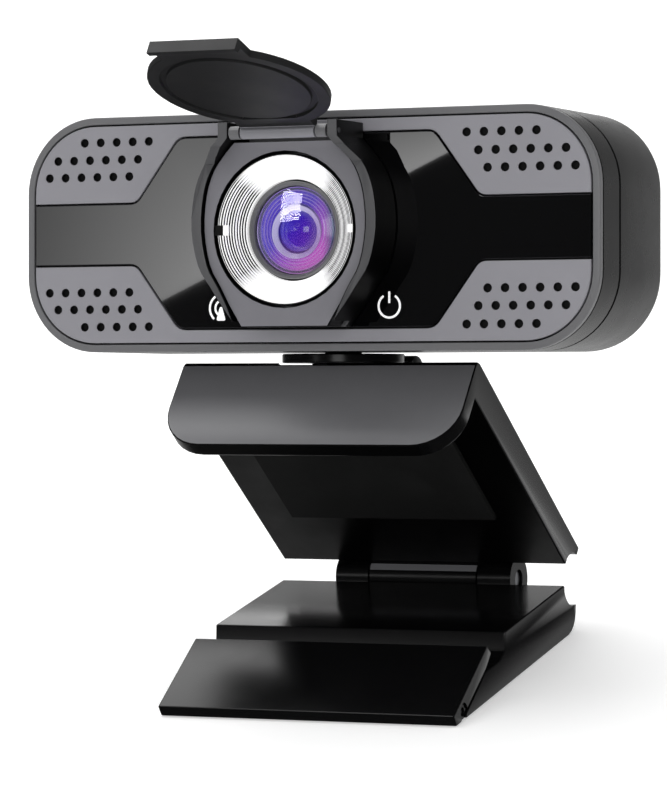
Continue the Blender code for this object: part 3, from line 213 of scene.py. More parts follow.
def per(millimetres):
    """Texture scale, in features to the metre, for a feature of this size."""
    return 1000 / millimetres


def add(tree, kind, values=None, links=None, **settings):
    """Add a node with its settings, its socket values and its links."""
    node = tree.nodes.new("ShaderNode" + kind)
    for key, value in settings.items():
        setattr(node, key, value)
    for key, value in (values or {}).items():
        node.inputs[key].default_value = value
    for key, source in (links or {}).items():
        tree.links.new(source, node.inputs[key])
    return node


def started(name, values):
    """A new material: its node tree, its shader and the object coordinates."""
    made = bpy.data.materials.new(name)
    made.use_nodes = True
    tree = made.node_tree
    shader = tree.nodes["Principled BSDF"]
    for key, value in values.items():
        shader.inputs[key].default_value = value
    return made, tree, shader, add(tree, "TexCoord").outputs["Object"]


def moulded(name, light, dark, rough, spread, grain, relief, cloud=9.0, **extra):
    """Moulded or painted plastic: cloudy tone, uneven gloss and a fine grain.

    `grain` and `cloud` are the widths of the grain and of the clouds in millimetres, and
    `relief` is the grain's height in metres.
    """
    made, tree, shader, where = started(name, {"IOR": 1.5, **extra})
    clouds = add(tree, "TexNoise", {"Scale": per(cloud), "Detail": 4.0, "Roughness": 0.6},
                 {"Vector": where})
    tone = add(tree, "MixRGB", {"Color1": paint(dark), "Color2": paint(light)},
               {"Fac": clouds.outputs["Fac"]})
    gloss = add(tree, "MapRange", {"From Min": 0.3, "From Max": 0.7, "To Min": rough - spread,
                                   "To Max": rough + spread}, {"Value": clouds.outputs["Fac"]})
    speck = add(tree, "TexNoise", {"Scale": per(grain), "Detail": 2.0}, {"Vector": where})
    bump = add(tree, "Bump", {"Strength": 0.5, "Distance": relief}, {"Height": speck.outputs["Fac"]})
    tree.links.new(tone.outputs["Color"], shader.inputs["Base Color"])
    tree.links.new(gloss.outputs["Result"], shader.inputs["Roughness"])
    tree.links.new(bump.outputs["Normal"], shader.inputs["Normal"])
    return made


# ------------------------------------------------------------------ materials
# Piano-black ABS from a polished mould: deep black, mirror gloss, faint orange peel.
PIANO_BLACK = moulded("piano_black_abs", "#0a0a0b", "#040405", 0.21, 0.03, 1.6, 0.0000010, cloud=16)
# The clip's front lip: the stand's black ABS with a satin gloss, coloured grey to paint in the sheen of the light
# on it.
LIP_PAINTED_SHEEN = moulded("lip_painted_sheen", "#7c7c7f", "#6f6f72", 0.34, 0.04, 0.30, 0.000002, cloud=14)
# Painted front of the lens rim: dark, semi-gloss grey.
RIM_FACE = moulded("semi_gloss_rim_paint", "#565658", "#4b4b4d", 0.20, 0.03, 0.9, 0.0000008)
# Black painted on the sideways walls of the lens rim and plate and on the clip's inner plate face, as shade.
WALL_PAINTED_SHADE = moulded("walls_painted_shade", "#050506", "#030304", 0.45, 0.04, 0.25, 0.000002,
                         **{"Specular IOR Level": 0.2})
# The same ABS as a flat, lapped window: an unbroken mirror.
PANEL_BLACK = moulded("lapped_black_panel", "#060607", "#030304", 0.022, 0.006, 4.0, 0.0000001, cloud=22,
                      **{"Coat Weight": 1.0, "Coat Roughness": 0.01})
# Black ABS, finely spark-eroded mould: soft broad sheen on the casings.
SATIN_BLACK = moulded("spark_eroded_black_abs", "#0b0b0c", "#070708", 0.27, 0.04, 0.22, 0.000003)
# Black polycarbonate, matt tool finish: even charcoal of the cover.
MATT_BLACK = moulded("matt_black_polycarbonate", "#252526", "#1d1d1e", 0.48, 0.05, 0.18, 0.000005)
# Satin grey lacquer of the grilles, with a hint of violet.
GRILLE_GREY = moulded("satin_grey_lacquer", "#97969c", "#908f95", 0.44, 0.04, 0.16, 0.000003)
# Moulded grey ABS of the bezel and the collar, slightly glossier.
BEZEL_GREY = moulded("moulded_grey_abs", "#757577", "#6c6c6e", 0.32, 0.05, 0.25, 0.000003)
# Grey ABS with a fine satin texture around the lens.
HOUSING_GREY = moulded("satin_grey_abs", "#85848a", "#7b7a80", 0.38, 0.05, 0.20, 0.000003)
# Black painted for the shade inside the grille's holes and in the focus ring's notch.
PAINTED_SHADE_BLACK = moulded("hole_and_notch_painted_shade", "#101011", "#0a0a0b", 0.5, 0.05, 0.2, 0.000003)
# Silicone rubber: dull, slightly dusty black.
RUBBER = moulded("black_silicone_rubber", "#1c1c1c", "#141414", 0.75, 0.08, 0.12, 0.000008)
# White pad-printed ink of the marks and the ring's tabs, slightly uneven, with a faint painted glow from emission.
INK_WHITE = moulded("white_pad_print", "#ffffff", "#f1f1f1", 0.4, 0.05, 0.1, 0.000001,
                    **{"Emission Color": (1, 1, 1, 1), "Emission Strength": 0.35})
# White nylon of the connector.
NYLON = moulded("white_nylon", "#e9e7df", "#dad7cd", 0.45, 0.05, 0.3, 0.000004)
# Black epoxy of a chip, with its fine laser-matt top.
EPOXY = moulded("black_epoxy", "#1f2022", "#17181a", 0.55, 0.05, 0.15, 0.000004)


def worked_metal(name, light, dark, rough, line, relief):
    """Bare metal with fine machining lines along X, `line` millimetres apart."""
    made, tree, shader, where = started(name, {"Metallic": 1.0, "Roughness": rough})
    lines = add(tree, "TexNoise", {"Scale": per(line), "Detail": 3.0}, {"Vector": add(
        tree, "Mapping", {"Scale": (0.08, 1, 1)}, {"Vector": where}).outputs["Vector"]})
    tone = add(tree, "MixRGB", {"Color1": paint(dark), "Color2": paint(light)},
               {"Fac": lines.outputs["Fac"]})
    bump = add(tree, "Bump", {"Strength": 0.4, "Distance": relief}, {"Height": lines.outputs["Fac"]})
    tree.links.new(tone.outputs["Color"], shader.inputs["Base Color"])
    tree.links.new(bump.outputs["Normal"], shader.inputs["Normal"])
    return made


# Zinc-plated steel of pins and screws: grey with drawn lines.
STEEL = worked_metal("plated_steel", "#c9cacd", "#9fa1a6", 0.28, 0.25, 0.000003)
# Burnished grey enamel of the cover's hinge barrel.
BURNISHED = moulded("burnished_hinge", "#8f8f94", "#818186", 0.24, 0.03, 0.4, 0.000001)
# Free-cutting brass of the tripod insert.
BRASS = worked_metal("turned_brass", "#d8b773", "#b48f4c", 0.3, 0.2, 0.000003)


def lens_frame(tree, where):
    """Object coordinates seen from the lens: across, depth and up, in millimetres."""
    back = TURN.to_3x3().transposed()
    centred = add(tree, "Mapping", {"Location": -1 * (back @ HEAD.translation),
                                    "Rotation": back.to_euler()}, {"Vector": where})
    scaled = add(tree, "VectorMath", {"Scale": 1000.0}, {"Vector": centred.outputs["Vector"]},
                 operation="SCALE")
    return scaled.outputs["Vector"]


GROOVE_PITCH = 0.33                       # millimetres, one bright and one dark line
RECESS_SHADE_FROM, RECESS_SHADE_TO = 11.74, 11.82       # radii between which the ring's edge turns black


# Bright-turned aluminium with fine circular grooves; the bow-tie highlight they would fan the light into is
# painted into its colour and made to glow.
def turned_aluminium():
    """The ring's metal with a painted bow-tie highlight, white above and below and with dark groove lines at the
    sides, glowing in the same tone; its edge is painted black as the recess's shade.
    """
    made, tree, shader, where = started("turned_aluminium", {"Metallic": 0.5, "Roughness": 0.30,
                                                             "Emission Strength": 0.62})
    seen = add(tree, "SeparateXYZ", links={"Vector": lens_frame(tree, where)})
    across = add(tree, "Math", links={0: seen.outputs["X"], 1: seen.outputs["X"]}, operation="MULTIPLY")
    above = add(tree, "Math", links={0: seen.outputs["Z"], 1: seen.outputs["Z"]}, operation="MULTIPLY")
    total = add(tree, "Math", links={0: across.outputs[0], 1: above.outputs[0]}, operation="ADD")
    radius = add(tree, "Math", links={0: total.outputs[0]}, operation="SQRT")
    sides = add(tree, "Math", links={0: across.outputs[0], 1: total.outputs[0]}, operation="DIVIDE")
    turns = add(tree, "Math", {1: math.tau / GROOVE_PITCH}, {0: radius.outputs[0]}, operation="MULTIPLY")
    wave = add(tree, "Math", links={0: turns.outputs[0]}, operation="SINE")
    depth = add(tree, "MapRange", {"From Min": -0.30, "From Max": 0.0}, {"Value": wave.outputs[0]})
    spread = add(tree, "MapRange", {"From Min": 0.34, "From Max": 0.56}, {"Value": sides.outputs[0]})
    painted_groove_shade = add(tree, "Math", links={0: depth.outputs[0], 1: spread.outputs[0]}, operation="MULTIPLY")
    # Painted highlight: white above and below, dark groove lines at the left and right.
    tone = add(tree, "MixRGB", {"Color1": paint("#ffffff"), "Color2": paint("#050506")},
               {"Fac": painted_groove_shade.outputs[0]})
    # Painted shade: the outer edge turns black where the recess wall shades it.
    edge = add(tree, "MapRange", {"From Min": RECESS_SHADE_FROM, "From Max": RECESS_SHADE_TO},
               {"Value": radius.outputs[0]})
    tone = add(tree, "MixRGB", {"Color2": paint("#060607")},
               {"Fac": edge.outputs[0], "Color1": tone.outputs["Color"]})
    bump = add(tree, "Bump", {"Strength": 0.6, "Distance": 0.00004}, {"Height": wave.outputs[0]})
    tree.links.new(tone.outputs["Color"], shader.inputs["Base Color"])
    # The painted tone also glows as emission: painted light.
    tree.links.new(tone.outputs["Color"], shader.inputs["Emission Color"])
    tree.links.new(bump.outputs["Normal"], shader.inputs["Normal"])
    return made


TURNED_ALUMINIUM = turned_aluminium()


def coated_glass(name, upper, lower, edge, rough, ring=50.0, line="#ffffff", **extra):
    """Lens glass with its coating's reflections painted into its colour, turning from one hue to another across
    the lens.

    `ring` is the pitch in millimetres of its faint circular lines, drawn in `line`; at the
    default none shows on a lens this small. `edge` is its colour at the right-hand edge.
    """
    made, tree, shader, where = started(name, {"IOR": 1.7, "Roughness": rough, "Coat Weight": 1.0,
                                               "Coat Roughness": 0.02, **extra})
    seen = add(tree, "SeparateXYZ", links={"Vector": lens_frame(tree, where)})
    low = add(tree, "Math", links={0: seen.outputs["X"], 1: seen.outputs["Z"]}, operation="SUBTRACT")
    fade = add(tree, "MapRange", {"From Min": -2.0, "From Max": 7.0}, {"Value": low.outputs[0]})
    # Painted reflection: the coating's hue changes with place across the lens.
    hue = add(tree, "MixRGB", {"Color1": paint(upper), "Color2": paint(lower)}, {"Fac": fade.outputs[0]})
    across = add(tree, "CombineXYZ", links={"X": seen.outputs["X"], "Y": seen.outputs["Z"]})
    radius = add(tree, "VectorMath", links={0: across.outputs["Vector"]}, operation="LENGTH")
    turns = add(tree, "Math", {1: math.tau / ring}, {0: radius.outputs["Value"]}, operation="MULTIPLY")
    wave = add(tree, "Math", links={0: turns.outputs[0]}, operation="SINE")
    lines = add(tree, "MapRange", {"From Min": 0.3, "From Max": 1.0, "To Min": 0.0, "To Max": 0.55},
                {"Value": wave.outputs[0]})
    hue = add(tree, "MixRGB", {"Color2": paint(line)},
              {"Fac": lines.outputs[0], "Color1": hue.outputs["Color"]})
    side = add(tree, "MapRange", {"From Min": 4.6, "From Max": 6.6}, {"Value": seen.outputs["X"]})
    # Painted reflection: another tint towards the right-hand edge.
    rim = add(tree, "MixRGB", {"Color2": paint(edge)},
              {"Fac": side.outputs[0], "Color1": hue.outputs["Color"]})
    tree.links.new(rim.outputs["Color"], shader.inputs["Base Color"])
    return made


# Multi-coated glass: violet above, rose below and a thread of green at the right edge, the coating's reflections
# painted into the glass; the pale seat is painted lighter towards the upper left and darker to the lower right as
# light and shade.
BOWL_GLASS = coated_glass("multicoated_bowl", "#4c26cc", "#dc5cd8", "#3b6a6a", 0.12, ring=0.52,
                          line="#d9b8ee")
INNER_GLASS = coated_glass("multicoated_inner_glass", "#2a14b8", "#2c1098", "#1d1070", 0.08)
PALE_GLASS = coated_glass("pale_lens_seat", "#e4dcf2", "#a58fd0", "#4a35a0", 0.25)
FRONT_GLASS = coated_glass("clear_front_glass", "#4a30d0", "#b050d0", "#5a7ac0", 0.02, Alpha=0.07)


def circuit_board():
    """Green solder mask over a coarse pattern of fine copper tracks."""
    made, tree, shader, where = started("solder_mask", {"IOR": 1.5, "Roughness": 0.35})
    tracks = add(tree, "TexBrick", {"Scale": per(4.0), "Mortar Size": 0.06, "Color1": paint("#11572f"),
                                    "Color2": paint("#0e4a28"), "Mortar": paint("#2c8a4d")},
                 {"Vector": where})
    tree.links.new(tracks.outputs["Color"], shader.inputs["Base Color"])
    bump = add(tree, "Bump", {"Strength": 0.4, "Distance": 0.00003}, {"Height": tracks.outputs["Fac"]})
    tree.links.new(bump.outputs["Normal"], shader.inputs["Normal"])
    return made


def sensor_window():
    """Blue cover glass of the sensor, with a fine grid."""
    made, tree, shader, where = started("sensor_window", {"IOR": 1.52, "Roughness": 0.08})
    cells = add(tree, "TexChecker", {"Scale": per(0.2), "Color1": paint("#2b3f74"),
                                     "Color2": paint("#22315d")}, {"Vector": where})
    tree.links.new(cells.outputs["Color"], shader.inputs["Base Color"])
    return made


FINISHES = {
    "gloss_black": PIANO_BLACK, "satin_black": SATIN_BLACK, "matte_black": MATT_BLACK,
    "grille_grey": GRILLE_GREY, "bezel_grey": BEZEL_GREY, "housing_grey": HOUSING_GREY,
    "silver": TURNED_ALUMINIUM, "steel": STEEL, "brass": BRASS, "coated_glass": INNER_GLASS,
    "inner_glass": BOWL_GLASS, "sensor": sensor_window(), "circuit_board": circuit_board(),
    "chip_black": EPOXY, "icon_white": NYLON, "rubber": RUBBER,
}
for part in frame["record"]["subparts"]:
    for holder in NODES[part["node"]].material_slots:
        holder.material = FINISHES[part["material_slot"]]

# --------------------------------------------------------------- camera body
SHELL_LOW, SHELL_HIGH = extent("rear_shell", HEAD)
BEZEL_BACK = extent("front_bezel", HEAD)[1].y
GRILLE_END = extent("upper_grille", HEAD)[1].x
HALF_WIDTH, HALF_HEIGHT = SHELL_HIGH.x, SHELL_HIGH.z
CORNER = 12.5
BACK_ROUNDING = 3
WALL = 1.6
GROOVE = 0.3                              # fine gap around each grille
BEZEL = HALF_WIDTH - GRILLE_END           # bezel and the groove inside it
BODY = rounded_rectangle(HALF_WIDTH, HALF_HEIGHT, CORNER)


def casings():
    """Rear shell with its rounded back, side band and front bezel."""
    start, back = SHELL_LOW.y, SHELL_HIGH.y
    rounding = [(BACK_ROUNDING - BACK_ROUNDING * math.sin(a),
                 back - BACK_ROUNDING + BACK_ROUNDING * math.cos(a))
                for a in [math.radians(90 * step / 8) for step in range(9)]]
    outside = [(3.4, back)] + rounding + [(0, start + 0.25), (0.2, start)]
    screw_radius, sunk, ease = 1.9, 0.8, 0.15
    seat = [(-ease, back), (0, back - ease), (0, back - sunk), (0.8, back - sunk), (0.8, back - WALL)]
    screws = [(circle((x, z), screw_radius, 20), seat) for x in (-40, 40) for z in (-11.8, 11.8)]
    cable = [(circle((0, -6), 3.4, 28), [(-0.3, back), (0, back - 0.3), (0, back - WALL)])]
    shell = layered([(BODY, outside + [(WALL, start), (WALL, back - WALL)])] + screws + cable)
    piece("rear_casing", shell, HEAD, "camera", [SATIN_BLACK], ["rear_shell"])

    low, high = extent("mid_band", HEAD)
    band = layered([(BODY, [(0.15, low.y), (0, low.y + 0.15), (0, high.y - 0.2), (0.2, high.y),
                            (WALL, high.y), (WALL, low.y)])], closed=True)
    piece("side_band", band, HEAD, "camera", [SATIN_BLACK], ["mid_band"])

    wide = BEZEL - GROOVE
    ring = layered([(BODY, [(wide, BEZEL_BACK), (wide, 0.12), (wide - 0.1, 0), (0.32, 0), (0.1, 0.08),
                            (0, 0.3), (0, BEZEL_BACK)])], closed=True)
    piece("front_ring", ring, HEAD, "camera", [BEZEL_GREY], ["front_bezel"])


PANEL_HIGH = extent("front_panel", HEAD)[1]
DEEP = PANEL_HIGH.y
BAND = 4.9                                # half height of the panel's narrow ends
NECK, SHOULDER = 22.5, 30.2               # ends of the panel's slanted sides, from the middle
FREE_END = 40                             # past this the panel's corners stay sharp
HALF_PANEL = [(NECK, PANEL_HIGH.z), (SHOULDER, BAND), (PANEL_HIGH.x, BAND), (PANEL_HIGH.x, -BAND),
              (SHOULDER, -BAND), (NECK, -PANEL_HIGH.z)]
WINDOW = softened([Vector((-x, z)) for x, z in HALF_PANEL] + [Vector(point) for point in HALF_PANEL[::-1]],
                  2.4, sharp_from=FREE_END)


def grille_outline(side):
    """Outline of the upper (side 1) or lower (side -1) grille plate, anticlockwise."""
    plate = moved_in(BODY, BEZEL)
    above = plate[:len(plate) // 2]
    bay = [point for point in moved_in(WINDOW, -GROOVE) if point.y > 0 and abs(point.x) < FREE_END]
    left, right = [Vector((end, BAND + GROOVE)) for end in (-GRILLE_END, GRILLE_END)]
    points = above + [left] + sorted(bay, key=lambda point: point.x) + [right]
    if side < 0:
        points = [Vector((x, -z)) for x, z in reversed(points)]
    return points


HOLE_RADIUS, HOLE_DEPTH, HOLE_SIDES = 0.72, 0.72, 20
PITCH = 2.95
ROWS = ((15.08, 28.04, 5), (12.21, 30.03, 6), (9.44, 31.61, 6))   # height, first hole, how many


def sound_plate(name, node, side):
    """A grille plate with its blind sound holes, whose walls and floors are painted black as the shade inside
    them.
    """
    holes = [(circle((hand * (start + index * PITCH), side * height), HOLE_RADIUS, HOLE_SIDES),
              [(-0.07, 0), (0, 0.07), (0, HOLE_DEPTH)])
             for height, start, count in ROWS for index in range(count) for hand in (-1, 1)]
    bm = bmesh.new()
    front, floors, back = [], [], []
    for outline, steps in [(grille_outline(side), [(0.1, 0), (0, 0.1), (0, DEEP)])] + holes:
        rings = [loop(bm, moved_in(outline, inset), depth) for inset, depth in steps]
        for ring, following in zip(rings, rings[1:]):
            bmesh.ops.bridge_loops(bm, edges=ring + following)
        front += rings[0]
        if len(outline) > HOLE_SIDES:
            back = rings[-1]
        else:
            floors.append(rings[-1])
    for edges in (front, back):
        bmesh.ops.triangle_fill(bm, use_beauty=True, use_dissolve=False, edges=edges)
    for edges in floors:
        bmesh.ops.contextual_create(bm, geom=edges)
    # Painted shade: the holes' walls and floors take the black finish.
    for face in bm.faces:
        if abs(max(vert.co.y for vert in face.verts) - HOLE_DEPTH) < 0.05:
            face.material_index = 1
    piece(name, bm, HEAD, "camera", [GRILLE_GREY, PAINTED_SHADE_BLACK], [node])


def faces():
    """The two grilles and the glossy panel between them."""
    sound_plate("upper_sound_plate", "upper_grille", 1)
    sound_plate("lower_sound_plate", "lower_grille", -1)
    steps = [(0, 0), (0, 0.1), (0, DEEP)]
    panel = layered([(WINDOW, [(0.1, 0)] + steps[1:]), (circle((0, 0), 8.0, 40), steps)])
    piece("glossy_panel", panel, HEAD, "camera", [PANEL_BLACK], ["front_panel"])


# ----------------------------------------------------------------- the lens
def housing():
    """Rim and plate of the lens housing; the faces that look sideways are painted black as shade."""
    ahead = TURN.to_3x3() @ Vector((0, -1, 0))
    for node, name, ease, facing, face_finish in (
            ("lens_rim", "lens_rim_eased", 0.00012, 0.55, RIM_FACE),
            ("lens_surround", "lens_surround_eased", 0.00010, 0.93, HOUSING_GREY)):
        # Painted shade: faces that turn away from ahead take the black finish.
        shape = repaint(eased(node, ease), lambda face: face.normal.dot(ahead) < facing)
        piece(name, shape, None, "camera", [face_finish, WALL_PAINTED_SHADE], [node])


def focus_ring():
    """Dished ring with fine circular grooves, a black block painted as the shade of its notch, and two white tabs.
    """
    low, high = extent("focus_ring", HEAD)
    outer, front, back = high.x, low.y, high.y
    inner, inner_front, land = 8.1, -4.4, 0.5
    grooves = 13
    profile = [(outer, back), (outer, front + 0.25), (outer - 0.15, front)]
    for index in range(grooves):
        for along, sunk in ((index + 0.5, -0.03), (index + 1, 0.06)):
            t = along / grooves
            profile.append((outer - land + (inner - outer + land) * t,
                            front + (inner_front - front) * t + sunk))
    profile += [(inner, back)]
    piece("grooved_focus_ring", turned(profile, 128), HEAD, "focus_ring", [TURNED_ALUMINIUM],
          ["focus_ring"], sharp=15)
    thick, sunk = 0.25, 0.22
    # The notch is a black block of painted shade; the tabs are white ink.
    for name, made, tabs in (
            ("ring_notch_shade", PAINTED_SHADE_BLACK, ((-outer + 0.5, 0.7, 0.8),)),
            ("ring_tabs", INK_WHITE, ((-outer + 1.65, 0.42, 0.8), (outer - 0.7, 0.42, 0.65)))):
        bm = bmesh.new()
        for x, wide, tall in tabs:
            middle = Matrix.Translation((x, front + sunk, 0))
            bmesh.ops.create_cube(bm, size=2, matrix=middle @ Matrix.Diagonal((wide, thick, tall, 1)))
        piece(name, bm, HEAD, "focus_ring", [made])


def dome(radius, rise, front, steps):
    """(radius, depth) points of a glass dome, from its tip at `front` out to its edge."""
    curve = (radius ** 2 + rise ** 2) / (2 * rise)
    return [(r, front + curve - math.sqrt(curve ** 2 - r ** 2))
            for r in [radius * step / steps for step in range(steps + 1)]]


def glass():
    """Collar, thin front glass, stepped bowl, pale seat and the inner lens."""
    low, high = extent("lens_bezel", HEAD)
    collar = turned([(high.x, high.y), (high.x, low.y + 0.15), (high.x - 0.15, low.y),
                     (7.45, low.y + 0.05), (7.1, low.y + 0.45), (7.1, high.y)], 96)
    piece("lens_collar", collar, HEAD, "camera", [BEZEL_GREY], ["lens_bezel"])

    low, high = extent("front_lens", HEAD)
    thickness = 0.3
    points = dome(high.x, 1.1, low.y, 12)
    shell = turned(points + [(r, d + thickness) for r, d in reversed(points)], 96)
    piece("front_glass", shell, HEAD, "camera", [FRONT_GLASS], ["front_lens"])

    edge, hole, back = 6.95, 4.3, -2.3
    profile = [(edge, -3.05)]
    for index in range(6):
        stair, sunk = 6.7 - index * 0.42, index * 0.02
        profile += [(stair, -2.95 + sunk), (stair - 0.03, -2.80 + sunk), (stair - 0.20, -2.82 + sunk)]
    profile += [(hole, -2.9), (hole, back), (edge, back)]
    piece("lens_bowl", turned(profile, 96), HEAD, "camera", [BOWL_GLASS], ["aperture_ring"],
          sharp=40)
    seat = turned([(hole, -3.0), (4.18, -3.06), (3.45, -2.5), (3.45, -2.2), (hole, -2.2)], 72)
    bmesh.ops.translate(seat, verts=seat.verts, vec=(-0.1, 0, -0.25))
    piece("lens_seat", seat, HEAD, "camera", [PALE_GLASS])
    ball_radius, ball_back = 3.4, -1.6
    ball = turned(dome(ball_radius, 1.3, -3.35, 10) + [(ball_radius, ball_back), (0, ball_back)], 72)
    piece("inner_lens", ball, HEAD, "camera", [INNER_GLASS], ["middle_lens"], sharp=40)


# ------------------------------------------------------------------- marks
STROKE = 0.17                             # half the width of a mark's lines


def stroke_along(centre, radius, start, end, steps):
    """Outline of a line that follows an arc."""
    return (arc(centre, radius + STROKE, start, end, steps)
            + arc(centre, radius - STROKE, end, start, steps))


def printed(outlines):
    """Flat shapes that stand just proud of the panel, in one mesh."""
    bm = bmesh.new()
    for outline in outlines:
        shape = layered([(outline, [(0, -0.04), (0, 0.3)])])
        mesh = bpy.data.meshes.new("printed")
        shape.to_mesh(mesh)
        shape.free()
        bm.from_mesh(mesh)
        bpy.data.meshes.remove(mesh)
    return bm


def marks():
    """Power and microphone marks in white."""
    centre = Vector((14.8, -12.1))
    bar = [centre + Vector(p) for p in ((-STROKE, 0.45), (STROKE, 0.45), (STROKE, 2.3), (-STROKE, 2.3))]
    power = printed([stroke_along(centre, 1.85, 122, 418, 40), bar])
    piece("power_mark", power, HEAD, "camera", [INK_WHITE], ["power_indicator"])

    cone = [Vector(p) for p in ((-15.75, -14.2), (-14.05, -14.2), (-14.7, -12.0), (-15.1, -12.0))]
    middle = Vector((-14.6, -12.2))
    waves = [stroke_along(middle, radius, 125, 228, 24) for radius in (1.3, 2.3)]
    microphone = printed([softened(cone, 0.3)] + waves)
    piece("microphone_mark", microphone, HEAD, "camera", [INK_WHITE], ["mic_indicator"])


# --------------------------------------------------------- stand and cover
BARREL = 1.25                             # burnished within this of the cover's hinge axis
LIP_OUTWARD = Vector((0, -0.6307, 0.776))
PLATE_INWARD = Vector((0, -0.757, -0.6534))
FACING = 0.97                             # cosine within which a face looks the given way


def stand_and_cover():
    """The boxy pieces of the stand and the cover, with their edges eased."""
    back = COVER.inverted()
    cover = repaint(eased("privacy_cover", 0.00012),
                    lambda face: (back @ face.calc_center_median()).yz.length < BARREL)
    piece("lens_cover", cover, None, "cover", [MATT_BLACK, BURNISHED], ["privacy_cover"])
    # Painted sheen: the lip's outer face takes the lighter grey.
    bracket = repaint(eased("bracket", 0.0002), lambda face: face.normal.dot(LIP_OUTWARD) > FACING)
    # Painted shade: the plate's inner face takes the black finish.
    bracket = repaint(bracket, lambda face: face.normal.dot(PLATE_INWARD) > FACING, 2)
    piece("clip_bracket", bracket, None, "bracket",
          [PIANO_BLACK, LIP_PAINTED_SHEEN, WALL_PAINTED_SHADE], ["bracket"])
    for node, name, body in (("swivel_disc", "swivel_plate", "swivel"), ("base_block", "clip_base", "base"),
                             ("foot_flap", "clip_foot", "foot")):
        piece(name, eased(node, 0.0002), None, body, [PIANO_BLACK], [node])


casings()
faces()
housing()
focus_ring()
glass()
marks()
stand_and_cover()

# ------------------------------------------------------------------- studio
EYE = Vector((275.06, -586.1, -27.0))     # in the head's frame
EYE_TURN = math.radians(24.733)


def eye():
    """A long lens a little below the head's level and to its right."""
    data = bpy.data.cameras.new("eye")
    data.lens, data.sensor_width, data.clip_start = 182.3, 36, 0.01
    camera = bpy.data.objects.new("eye", data)
    bpy.context.scene.collection.objects.link(camera)
    across = Vector((math.cos(EYE_TURN), math.sin(EYE_TURN), 0))
    back = Vector((math.sin(EYE_TURN), -math.cos(EYE_TURN), 0))
    axes = Matrix((across, Vector((0, 0, 1)), back)).transposed()
    camera.matrix_world = Matrix.Translation(HEAD @ EYE) @ (TURN.to_3x3() @ axes).to_4x4()
    bpy.context.scene.camera = camera


def softbox(name, place, target, width, height, radiance, colour="#ffffff", roll=0.0, only=None):
    """A rectangular light at `place`, facing `target`, in metres.

    `only` lists the objects that it lights; without it, it lights everything.
    """
    data = bpy.data.lights.new(name, "AREA")
    data.shape, data.size, data.size_y = "RECTANGLE", width, height
    data.energy = radiance * math.pi * width * height
    data.color = paint(colour)[:3]
    lamp = bpy.data.objects.new(name, data)
    bpy.context.scene.collection.objects.link(lamp)
    away = Vector(place) - Vector(target)
    lamp.matrix_world = (Matrix.Translation(place) @ away.to_track_quat("Z", "Y").to_matrix().to_4x4()
                         @ Matrix.Rotation(roll, 4, "Z"))
    lamp.visible_camera = False
    if only:
        group = bpy.data.collections.new(name + "_on")
        for obj in only:
            group.objects.link(obj)
        lamp.light_linking.receiver_collection = group


def card_glow(corner, axes, length):
    """Light of the card, fading upwards and towards its left end, all in metres."""
    made = bpy.data.materials.new("card_glow")
    made.use_nodes = True
    tree = made.node_tree
    tree.nodes.clear()
    where = add(tree, "NewGeometry").outputs["Position"]
    rel = add(tree, "VectorMath", {1: corner}, {0: where}, operation="SUBTRACT").outputs["Vector"]
    run, rise = [add(tree, "VectorMath", {1: axes.col[index]}, {0: rel},
                     operation="DOT_PRODUCT").outputs["Value"] for index in (0, 1)]
    # Height over which the glow fades to 0.42 of its strength.
    reach = add(tree, "MapRange", {"From Min": length * 0.35, "From Max": length * 0.75, "To Min": 0.085,
                                   "To Max": 0.022}, {"Value": run}).outputs["Result"]
    ratio = add(tree, "Math", links={0: rise, 1: reach}, operation="DIVIDE").outputs[0]
    fade = add(tree, "Math", {0: 0.42}, {1: ratio}, operation="POWER").outputs[0]
    level = add(tree, "MapRange", {"From Min": length * 0.10, "From Max": length * 0.42, "To Min": 0.35,
                                   "To Max": 1.0}, {"Value": run}).outputs["Result"]
    power = add(tree, "Math", links={0: fade, 1: level}, operation="MULTIPLY").outputs[0]
    strength = add(tree, "Math", {1: 3.0}, {0: power}, operation="MULTIPLY").outputs[0]
    glow = add(tree, "Emission", links={"Strength": strength})
    out = add(tree, "OutputMaterial", links={"Surface": glow.outputs["Emission"]})
    out.is_active_output = True
    return made


def edge_card():
    """The tall card in front and to the left whose slanted edge crosses the glossy panel.

    Its lower edge is placed from the two points where the eye sees it end in the panel.
    """
    mirror = Vector((EYE.x, -EYE.y, EYE.z))
    away, tall = 900.0, 260.0
    grow = (mirror.y + away) / mirror.y
    left, right = [Vector((mirror.x + (x - mirror.x) * grow, -away, mirror.z + (z - mirror.z) * grow))
                   for x, z in ((-62, -27.4), (52, 24.2))]
    along = (right - left).normalized()
    above = Vector((0, 1, 0)).cross(along) * -1
    if above.z < 0:
        above = -above
    bm = bmesh.new()
    corners = [bm.verts.new(p) for p in (left, right, right + above * tall, left + above * tall)]
    bmesh.ops.contextual_create(bm, geom=corners)
    bm.transform(HEAD)
    mesh = bpy.data.meshes.new("edge_card")
    bm.to_mesh(mesh)
    bm.free()
    axes = TURN.to_3x3() @ Matrix((along, above, along.cross(above))).transposed()
    mesh.materials.append(card_glow(HEAD @ left, axes, (right - left).length * 0.001))
    card = bpy.data.objects.new("edge_card", mesh)
    bpy.context.scene.collection.objects.link(card)
    card.visible_camera = False
    card.visible_shadow = False


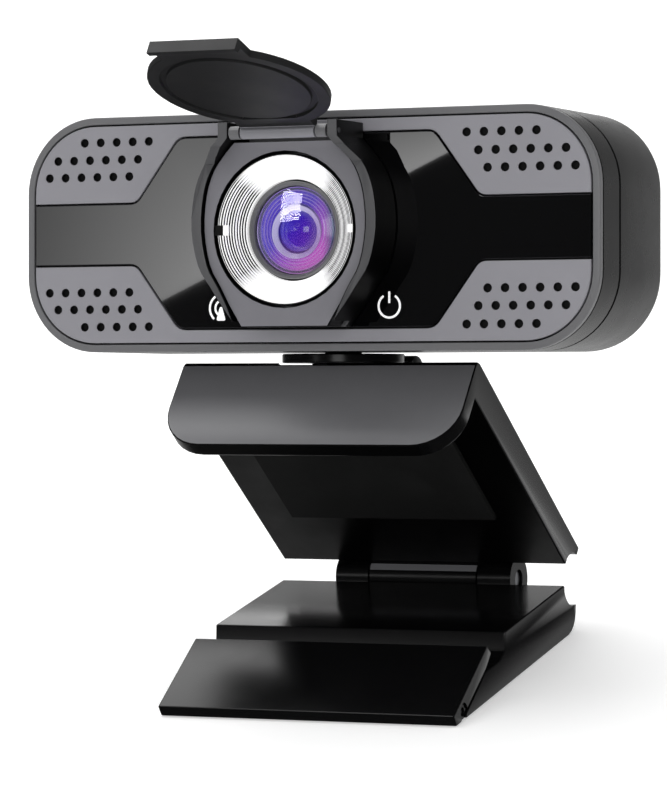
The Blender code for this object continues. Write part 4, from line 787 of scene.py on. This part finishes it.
def pale_floor():
    """White paper under the stand, lit a little from within to hide its edges."""
    bm = bmesh.new()
    bmesh.ops.create_grid(bm, x_segments=1, y_segments=1, size=3.0)
    mesh = bpy.data.meshes.new("floor")
    bm.to_mesh(mesh)
    bm.free()
    made = bpy.data.materials.new("pale_paper")
    made.use_nodes = True
    shader = made.node_tree.nodes["Principled BSDF"]
    shader.inputs["Base Color"].default_value = paint("#f7f7f7")
    shader.inputs["Roughness"].default_value = 0.9
    shader.inputs["Emission Color"].default_value = paint("#ffffff")
    shader.inputs["Emission Strength"].default_value = 0.32
    mesh.materials.append(made)
    floor = bpy.data.objects.new("floor", mesh)
    bpy.context.scene.collection.objects.link(floor)
    floor.visible_glossy = False


def surround():
    """White to the eye, a dim fill, and a sheen low behind that only glossy faces see."""
    world = bpy.data.worlds.new("surround")
    bpy.context.scene.world = world
    world.use_nodes = True
    tree = world.node_tree
    tree.nodes.clear()
    behind = Vector((-0.2, 0.86, -0.47)).normalized()
    toward = add(tree, "VectorMath", {1: behind}, {0: add(tree, "TexCoord").outputs["Generated"]},
                 operation="DOT_PRODUCT").outputs["Value"]
    below = add(tree, "MapRange", {"From Min": 0.70, "From Max": 0.93, "To Min": 0.05, "To Max": 0.8},
                {"Value": toward}).outputs["Result"]
    path = add(tree, "LightPath")
    sheen = add(tree, "Background", links={"Strength": below})
    fill = add(tree, "Background", {"Strength": 0.62})
    inner = add(tree, "MixShader", links={0: path.outputs["Is Glossy Ray"], 1: fill.outputs[0],
                                          2: sheen.outputs[0]})
    white = add(tree, "Background", {"Strength": 1.0})
    outer = add(tree, "MixShader", links={0: path.outputs["Is Camera Ray"], 1: inner.outputs[0],
                                          2: white.outputs[0]})
    add(tree, "OutputWorld", links={"Surface": outer.outputs[0]})


def lights():
    """Overhead, front and back softboxes, and a window that only the front glass mirrors."""
    middle = (0, 0, 0.07)
    softbox("overhead", (-0.35, 0.12, 1.05), (0, 0, 0.05), 1.1, 1.1, 2.4)
    softbox("front_fill", (0.35, -1.3, 0.55), middle, 0.5, 0.5, 2.0)
    softbox("back_fill", (-0.55, 1.3, 0.55), middle, 0.7, 0.7, 1.3)
    lens = HEAD @ Vector((0, -5, 0))
    window = lens + 0.45 * (TURN.to_3x3() @ Vector((-0.468, -0.796, 0.368)))
    softbox("lens_window", window, lens, 0.14, 0.20, 42.0, "#f4f1ff", 0.3,
            [bpy.data.objects["front_glass"]])


eye()
edge_card()
pale_floor()
surround()
lights()
bpy.context.scene.view_settings.view_transform = "Standard"
